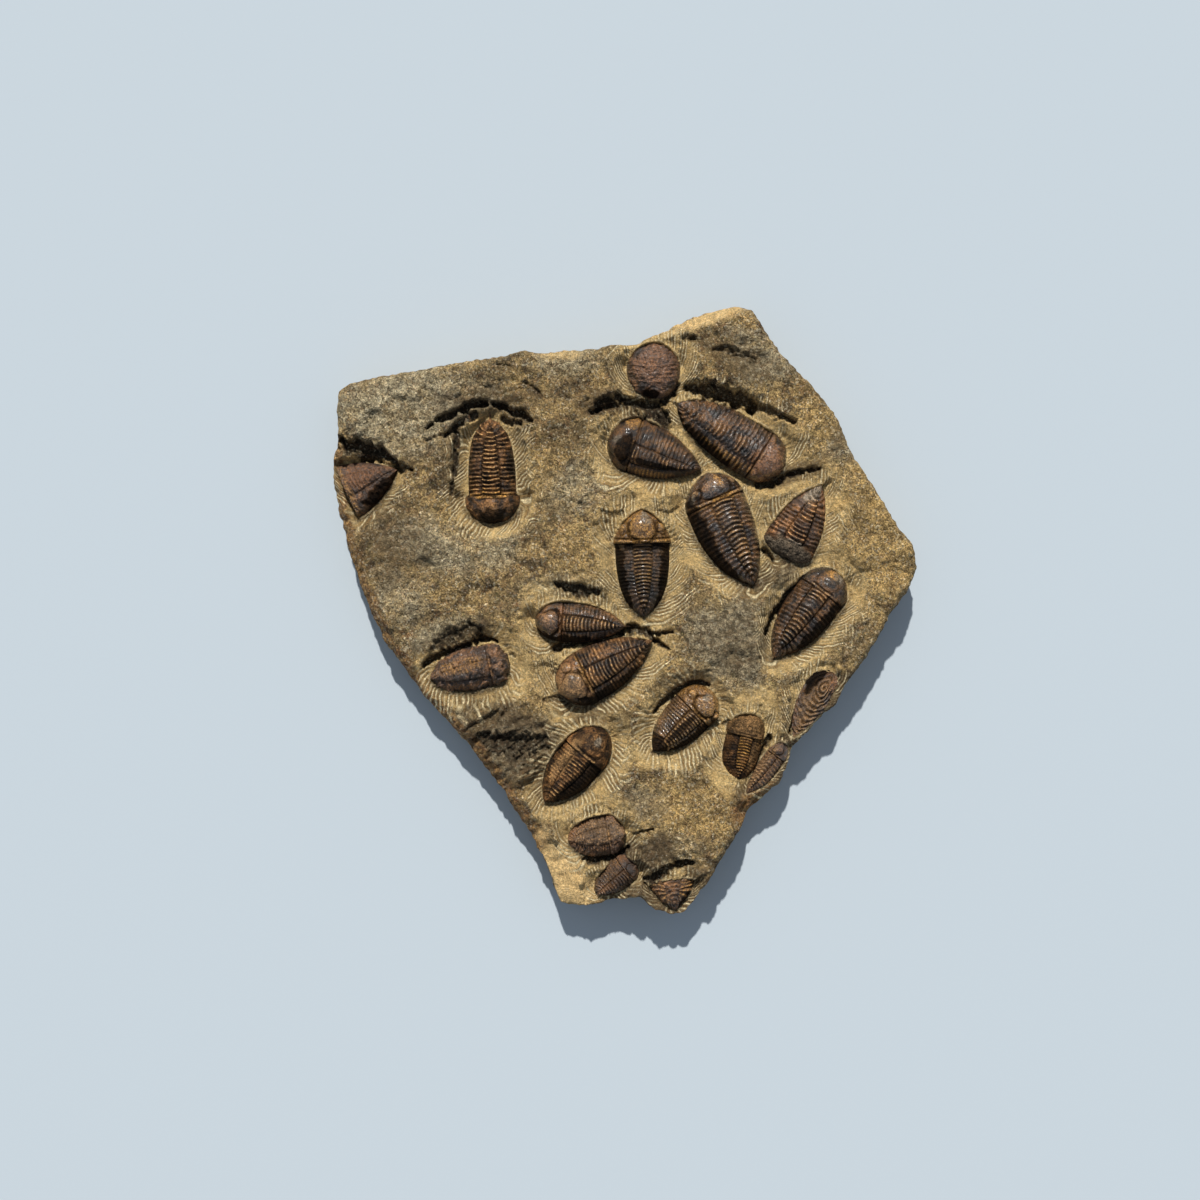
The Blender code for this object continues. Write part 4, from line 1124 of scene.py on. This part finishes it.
def build_fossil(fossil, number):
    """One trilobite as a closed mesh, whose flanks run down into the rock."""
    end = 1.0 + fossil.spine / fossil.length
    even = np.linspace(0.0, 1.0, FOSSIL_STATIONS)
    stations = end * (even - CROWDING * np.sin(2.0 * math.pi * even) / 2.0)
    if fossil.head_share:
        stations[0] = TIP_GAP
    stations[-1] = end - TIP_GAP
    swing = np.linspace(-1.0, 1.0, BACK_POINTS)
    along, across = np.meshgrid(stations, 0.55 * np.sin(0.5 * math.pi * swing) + 0.45 * swing, indexing="ij")
    base = back_surface(fossil, along, across)

    normal = np.cross(np.gradient(base, axis=1), np.gradient(base, axis=0))
    normal *= np.sign(normal[..., 2:3] + 1e-12)
    normal /= np.maximum(np.linalg.norm(normal, axis=-1, keepdims=True), 1e-12)
    relief, masks = fossil_relief(fossil, number, along, across)
    thin = np.clip(fossil.half_width(along) / (0.16 * fossil.width), 0.0, 1.0)
    skirt = 1.0 - ease(0.93, 1.0, np.abs(across))
    top = base + normal * (relief * thin * skirt)[..., None] * MM

    left, right = top[:, -1:].copy(), top[:, :1].copy()
    left[..., 2] = right[..., 2] = fossil.floor - FOSSIL_ROOT
    points = np.concatenate([top, left, right], axis=1)
    triangles = tube_triangles(*points.shape[:2])
    piece = mesh_from(fossil.node.replace("trilobite", "fossil"), points.reshape(-1, 3), triangles)

    # Shade painted towards the foot of the flanks.
    masks["low"] = 1.0 - ease(0.0, 0.40, (top[..., 2] - fossil.floor) / fossil.height)
    for name, values in masks.items():
        masks[name] = np.concatenate([values, values[:, -1:], values[:, :1]], axis=1).ravel()
    set_masks(piece.data, masks)
    return piece


# ---------------------------------------------------------------- materials
class Value:
    """The output of a node. Its sum, difference or product with another or a number is a new node's."""

    def __init__(self, nodes, socket):
        self.nodes, self.socket = nodes, socket

    def __add__(self, other):
        return self.nodes.math("ADD", self, other)

    def __sub__(self, other):
        return self.nodes.math("SUBTRACT", self, other)

    def __rsub__(self, other):
        return self.nodes.math("SUBTRACT", other, self)

    def __mul__(self, other):
        return self.nodes.math("MULTIPLY", self, other)

    def __abs__(self):
        return self.nodes.math("ABSOLUTE", self)


class Nodes:
    """A short way to write a material's node tree."""

    def __init__(self, name):
        self.material = bpy.data.materials.new(name)
        self.material.use_nodes = True
        self.tree = self.material.node_tree
        self.shader = self.tree.nodes["Principled BSDF"]
        self.place = Value(self, self.new("ShaderNodeTexCoord").outputs["Object"])
        self.colour = None     # the base colour, which paint and blend build up

    def new(self, kind, **settings):
        node = self.tree.nodes.new(kind)
        for name, value in settings.items():
            setattr(node, name, value)
        return node

    def put(self, socket, value):
        """Link another node's output to the socket, or set its number or colour."""
        if isinstance(value, Value):
            self.tree.links.new(value.socket, socket)
        else:
            socket.default_value = value

    def shade(self, name, value):
        """Set one of the shader's inputs."""
        self.put(self.shader.inputs[name], value)

    def mask(self, name):
        return Value(self, self.new("ShaderNodeAttribute", attribute_name=name).outputs["Fac"])

    def texture(self, kind, output, size, **levels):
        """A texture over the piece, with features about size across."""
        node = self.new(kind)
        self.put(node.inputs["Vector"], self.place)
        node.inputs["Scale"].default_value = 1.0 / size
        for name, level in levels.items():
            node.inputs[name].default_value = level
        return Value(self, node.outputs[output])

    def noise(self, size, detail=4.0, rough=0.6, twist=0.0):
        levels = {"Detail": detail, "Roughness": rough, "Distortion": twist}
        return self.texture("ShaderNodeTexNoise", "Fac", size, **levels)

    def cells(self, size):
        return self.texture("ShaderNodeTexVoronoi", "Distance", size)

    def grains(self, size):
        """Three random shares, the same all over each grain."""
        split = self.new("ShaderNodeSeparateColor")
        self.put(split.inputs["Color"], self.texture("ShaderNodeTexVoronoi", "Color", size))
        return [Value(self, split.outputs[name]) for name in ("Red", "Green", "Blue")]

    def math(self, how, a, b=0.0, clamp=False):
        node = self.new("ShaderNodeMath", operation=how, use_clamp=clamp)
        self.put(node.inputs[0], a)
        self.put(node.inputs[1], b)
        return Value(self, node.outputs[0])

    def highest(self, first, *others):
        """The largest of several values."""
        for other in others:
            first = self.math("MAXIMUM", first, other)
        return first

    def between(self, value, low, high, to_low=0.0, to_high=1.0):
        """The value brought smoothly from the range low to high to another range."""
        node = self.new("ShaderNodeMapRange", interpolation_type="SMOOTHSTEP")
        self.put(node.inputs["Value"], value)
        for name, number in zip(("From Min", "From Max", "To Min", "To Max"), (low, high, to_low, to_high)):
            node.inputs[name].default_value = number
        return Value(self, node.outputs["Result"])

    def mix(self, share, first, second, blend="MIX"):
        node = self.new("ShaderNodeMix", data_type="RGBA", blend_type=blend)
        self.put(node.inputs["Factor"], share)
        colours = [s for s in node.inputs if s.type == "RGBA"]
        for socket, value in zip(colours, (first, second)):
            self.put(socket, value)
        return Value(self, [s for s in node.outputs if s.type == "RGBA"][0])

    def tones(self, value, low, high, first, second):
        """The first colour where the value is low, the second where it is high."""
        return self.mix(self.between(value, low, high), rgb(*first), rgb(*second))

    def paint(self, share, red, green, blue):
        """Lay a colour over the one so far, as thickly as the share says."""
        self.colour = self.mix(share, self.colour, rgb(red, green, blue))

    def blend(self, share, second, how="MIX"):
        """Mix another node's colours into the one so far."""
        self.colour = self.mix(share, self.colour, second, how)

    def bump(self, height, distance, strength=1.0, under=None):
        node = self.new("ShaderNodeBump")
        node.inputs["Strength"].default_value = strength
        node.inputs["Distance"].default_value = distance
        self.put(node.inputs["Height"], height)
        if under is not None:
            self.put(node.inputs["Normal"], under)
        return Value(self, node.outputs["Normal"])


def rgb(red, green, blue):
    """A colour given as screen values from 0 to 255, as linear light."""
    def linear(value):
        share = value / 255.0
        return share / 12.92 if share <= 0.04045 else ((share + 0.055) / 1.055) ** 2.4
    return (linear(red), linear(green), linear(blue), 1.0)


def stroke_pattern(n, phase, cut, fine):
    """Crisp pale lines, one to each whole number of the phase, as strong as the cut."""
    share = abs(n.math("FRACT", n.mask(phase)) - 0.5) + n.between(fine, 0.2, 0.8, -0.10, 0.10)
    return n.between(share, 0.31, 0.11) * n.mask(cut)


def rock_material():
    """Limestone: weathered and stained on its old surface, pale and hatched where it is carved."""
    n = Nodes("carved_rock")
    broad = n.noise(0.028, 4.0, 0.6, 0.3)
    blotch = n.noise(0.0085, 5.0, 0.65, 0.4)
    knobs = n.noise(0.0032, 4.0, 0.65, 0.2)
    fine = n.noise(0.0012, 4.0, 0.7)
    speck = n.noise(0.0006, 2.0, 0.6)
    pits = n.noise(0.0019, 3.0, 0.65)
    calm = n.noise(0.0070, 3.0, 0.6)
    rust = n.noise(0.0048, 4.0, 0.7, 0.3)
    tone, tint, light = n.grains(0.0010)
    carved, fresh = n.mask("carved"), n.mask("fresh")
    umber = n.math("MULTIPLY", n.mask("umber"), n.between(blotch, 0.25, 0.60, 1.0, 0.55), True)
    crossed = stroke_pattern(n, "hatch_two", "cut_two", fine) * 0.8
    lines = n.highest(stroke_pattern(n, "hatch", "cut", fine), crossed)
    lines = n.math("MULTIPLY", lines, n.between(knobs, 0.40, 0.58, 0.60, 1.45), True)
    gaps = (1.0 - lines) * n.mask("cut")
    rim = n.between(abs(n.mask("edge") - 0.30), 0.60, 0.10) * n.between(blotch, 0.42, 0.60, 0.0, 0.8)

    n.colour = n.tones(broad, 0.40, 0.60, (142, 121, 84), (180, 151, 100))
    n.paint(n.between(blotch, 0.48, 0.64), 96, 80, 56)
    n.paint(n.between(rust, 0.55, 0.68, 0.0, 0.40), 140, 98, 64)
    n.paint(n.between(rust, 0.42, 0.32, 0.0, 0.45), 128, 122, 78)
    n.paint(n.mask("ochre") * n.between(blotch, 0.25, 0.6, 0.9, 0.35), 206, 171, 108)
    grey = n.mask("grey") * n.between(blotch, 0.30, 0.60, 0.55, 1.0)
    n.blend(grey, n.tones(knobs, 0.38, 0.62, (138, 125, 97), (202, 186, 150)))
    worked = carved * n.between(knobs, 0.30, 0.70, 1.0, 0.58) * (1.0 - umber * 0.8)
    n.blend(worked, n.tones(blotch, 0.3, 0.7, (248, 214, 148), (226, 188, 122)))
    n.blend(umber * 0.92, n.tones(knobs, 0.35, 0.65, (78, 64, 46), (116, 97, 70)))
    n.paint(gaps * n.between(fine, 0.35, 0.60, 0.38, 0.85), 122, 93, 54)
    n.blend(n.mask("broken"), n.tones(knobs, 0.35, 0.65, (176, 138, 86), (122, 88, 56)))
    n.blend(fresh, n.mix(fine, rgb(226, 188, 128), rgb(246, 212, 150)))
    n.paint(lines, 250, 230, 182)
    n.paint(rim, 226, 204, 158)
    # Painted shade in the hollows and gashes and beside the tall fossils.
    n.paint(n.mask("dark") * 0.85, 30, 23, 17)
    grainy = 1.0 - n.highest(fresh, umber, carved) * 0.55
    bare = grainy * n.between(calm, 0.40, 0.58, 0.55, 1.0)
    n.paint(n.between(light, 0.78, 0.90) * (bare * 0.42), 214, 203, 174)
    n.paint(n.between(tint, 0.80, 0.90) * (bare * 0.25), 146, 98, 64)
    n.paint(n.between(pits, 0.42, 0.32) * (bare * 0.65), 56, 44, 31)
    n.blend(bare, n.between(fine, 0.36, 0.64, 0.66, 1.34), "MULTIPLY")
    n.blend(grainy, n.between(tone, 0.0, 1.0, 0.62, 1.38), "MULTIPLY")
    n.blend(grainy, n.between(speck, 0.34, 0.66, 0.66, 1.36), "MULTIPLY")
    # Pale specks of calcite grain, painted bright to stand in for their glints.
    n.paint(n.between(n.cells(0.0024), 0.12, 0.05) * n.between(blotch, 0.55, 0.60, 0.0, 0.8), 236, 230, 216)

    n.shade("Base Color", n.colour)
    n.shade("Roughness", n.between(fine, 0.3, 0.8, 0.95, 0.80))
    n.shade("Specular IOR Level", 0.25)
    under = n.bump(knobs, 0.0020, 0.9)
    under = n.bump(fine, 0.0011, 0.9, under)
    under = n.bump(lines * -1.0, 0.00070, 1.0, under)
    n.shade("Normal", n.bump(speck, 0.00060, 0.9, under))
    return n.material


def fossil_material(name, body, shine, ridge_tone, gloss, rough_bump, coat):
    """Calcite: shade painted in its furrows and at its foot, crests painted lighter (partly paler worn
    calcite, partly painted light), polished on its high parts.
    """
    n = Nodes(name)
    blotch = n.noise(0.0060, 5.0, 0.65, 0.5)
    patchy = n.noise(0.0110, 4.0, 0.6, 0.4)
    fine = n.noise(0.0011, 4.0, 0.7)
    speck = n.noise(0.0006, 2.0, 0.6)
    ridge, black_and_shadow = n.mask("ridge"), n.mask("black_and_shadow")
    uneven = n.between(blotch, 0.36, 0.60, 0.45, 1.0)
    furrow_shade = n.highest(n.mask("furrow"), n.between(ridge, 0.30, 0.02, 0.0, 0.8))
    dull = n.highest(furrow_shade, black_and_shadow, n.mask("dull"))

    n.colour = n.tones(blotch, 0.40, 0.62, body, shine)
    n.blend(1.0, n.between(patchy, 0.40, 0.60, 0.55, 1.25), "MULTIPLY")
    # Crests painted lighter: partly paler worn calcite, partly painted light.
    crest_wear_and_light = n.between(ridge, 0.46, 0.92) * n.between(fine, 0.36, 0.58, 0.15, 1.0)
    n.paint(crest_wear_and_light * n.between(blotch, 0.40, 0.60, 0.35, 1.0), *ridge_tone)
    n.paint(n.mask("red") * (uneven * 0.8), 130, 87, 52)
    ochre = n.mask("ochre") * n.between(blotch, 0.36, 0.62, 1.0, 0.35)
    ochre = ochre * n.between(ridge, 0.05, 0.55, 0.20, 1.0)
    n.blend(ochre, n.tones(fine, 0.35, 0.65, (140, 95, 40), (188, 140, 70)))
    n.paint(n.mask("grey") * (uneven * 0.85), 118, 108, 92)
    n.paint(n.mask("tan") * (uneven * 0.75), 134, 103, 66)
    # Painted shade in the furrows, the head's grooves and the band behind the head; the hair cracks take it
    # too.
    n.paint(furrow_shade * 0.75, 20, 15, 12)
    # Patches of darker calcite, and shadow painted on flanks turned from the sun, in one mask.
    n.paint(black_and_shadow * 0.88, 17, 13, 10)
    # Painted shade towards the foot of the flanks.
    n.paint(n.mask("low") * 0.55, 32, 24, 18)
    n.blend(1.0, n.between(fine, 0.34, 0.66, 0.52, 1.46), "MULTIPLY")
    n.blend(1.0, n.between(speck, 0.34, 0.66, 0.48, 1.54), "MULTIPLY")
    n.blend(1.0, n.mask("bright") * BRIGHTEST, "MULTIPLY")

    n.shade("Base Color", n.colour)
    n.shade("Roughness", n.between(fine, 0.36, 0.66, gloss - 0.08, gloss + 0.25) + dull * 0.35)
    n.shade("Specular IOR Level", n.between(dull, 0.0, 0.8, 1.0, 0.10))
    n.shade("Coat Weight", n.between(dull, 0.0, 0.6, coat, 0.0))
    n.shade("Coat Roughness", 0.18)
    under = n.bump(blotch, rough_bump * 3.0, 0.6)
    under = n.bump(fine, rough_bump * 3.0, 0.8, under)
    n.shade("Normal", n.bump(speck, rough_bump * 1.2, 0.7, under))
    return n.material


# ---------------------------------------------------------------- stage, light and camera
def build_floor():
    """The pale table that the slab lies on."""
    bpy.ops.mesh.primitive_plane_add(size=FLOOR_SIZE, location=(0.0, 0.0, -FLOOR_DROP))
    floor = bpy.context.active_object
    floor.name = "floor"
    material = bpy.data.materials.new("floor_white")
    material.use_nodes = True
    shader = material.node_tree.nodes["Principled BSDF"]
    shader.inputs["Base Color"].default_value = rgb(*FLOOR_COLOUR)
    shader.inputs["Roughness"].default_value = FLOOR_ROUGHNESS
    floor.data.materials.append(material)


def build_lights():
    """A low warm sun from the top of the picture, and a cool sky."""
    lamp = bpy.data.lights.new("key", "SUN")
    lamp.energy, lamp.angle, lamp.color = SUN_STRENGTH, SUN_ANGLE, SUN_COLOUR
    sun = bpy.data.objects.new("key", lamp)
    climb, turn = math.radians(SUN_CLIMB), math.radians(SUN_TURN)
    towards = Vector((-math.sin(turn) * math.cos(climb), math.cos(turn) * math.cos(climb), math.sin(climb)))
    sun.location = towards
    sun.rotation_euler = towards.to_track_quat("Z", "Y").to_euler()
    bpy.context.scene.collection.objects.link(sun)
    world = bpy.data.worlds.new("studio")
    world.use_nodes = True
    background = world.node_tree.nodes["Background"]
    background.inputs["Color"].default_value = SKY_COLOUR
    background.inputs["Strength"].default_value = SKY_STRENGTH
    bpy.context.scene.world = world


def build_camera():
    """The photo's view: straight down on the slab, with +Y up in the picture."""
    camera = bpy.data.cameras.new("camera")
    camera.lens, camera.sensor_width = CAMERA_LENS, SENSOR
    thing = bpy.data.objects.new("camera", camera)
    thing.location = (*CAMERA_AIM, CAMERA_HEIGHT)
    bpy.context.scene.collection.objects.link(thing)
    bpy.context.scene.camera = thing


def main():
    bpy.context.scene.view_settings.view_transform = "Standard"
    build_camera()
    build_floor()
    build_lights()
    rock = build_rock()
    rock.data.materials.append(rock_material())
    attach(rock, "root")
    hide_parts("matrix_slab")
    finishes = {slot: fossil_material(*finish) for slot, finish in FINISHES.items()}
    for number, fossil in enumerate(FOSSILS):
        piece = build_fossil(fossil, number)
        piece.data.materials.append(finishes[fossil.slot])
        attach(piece, "root")
        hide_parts(fossil.node)


main()
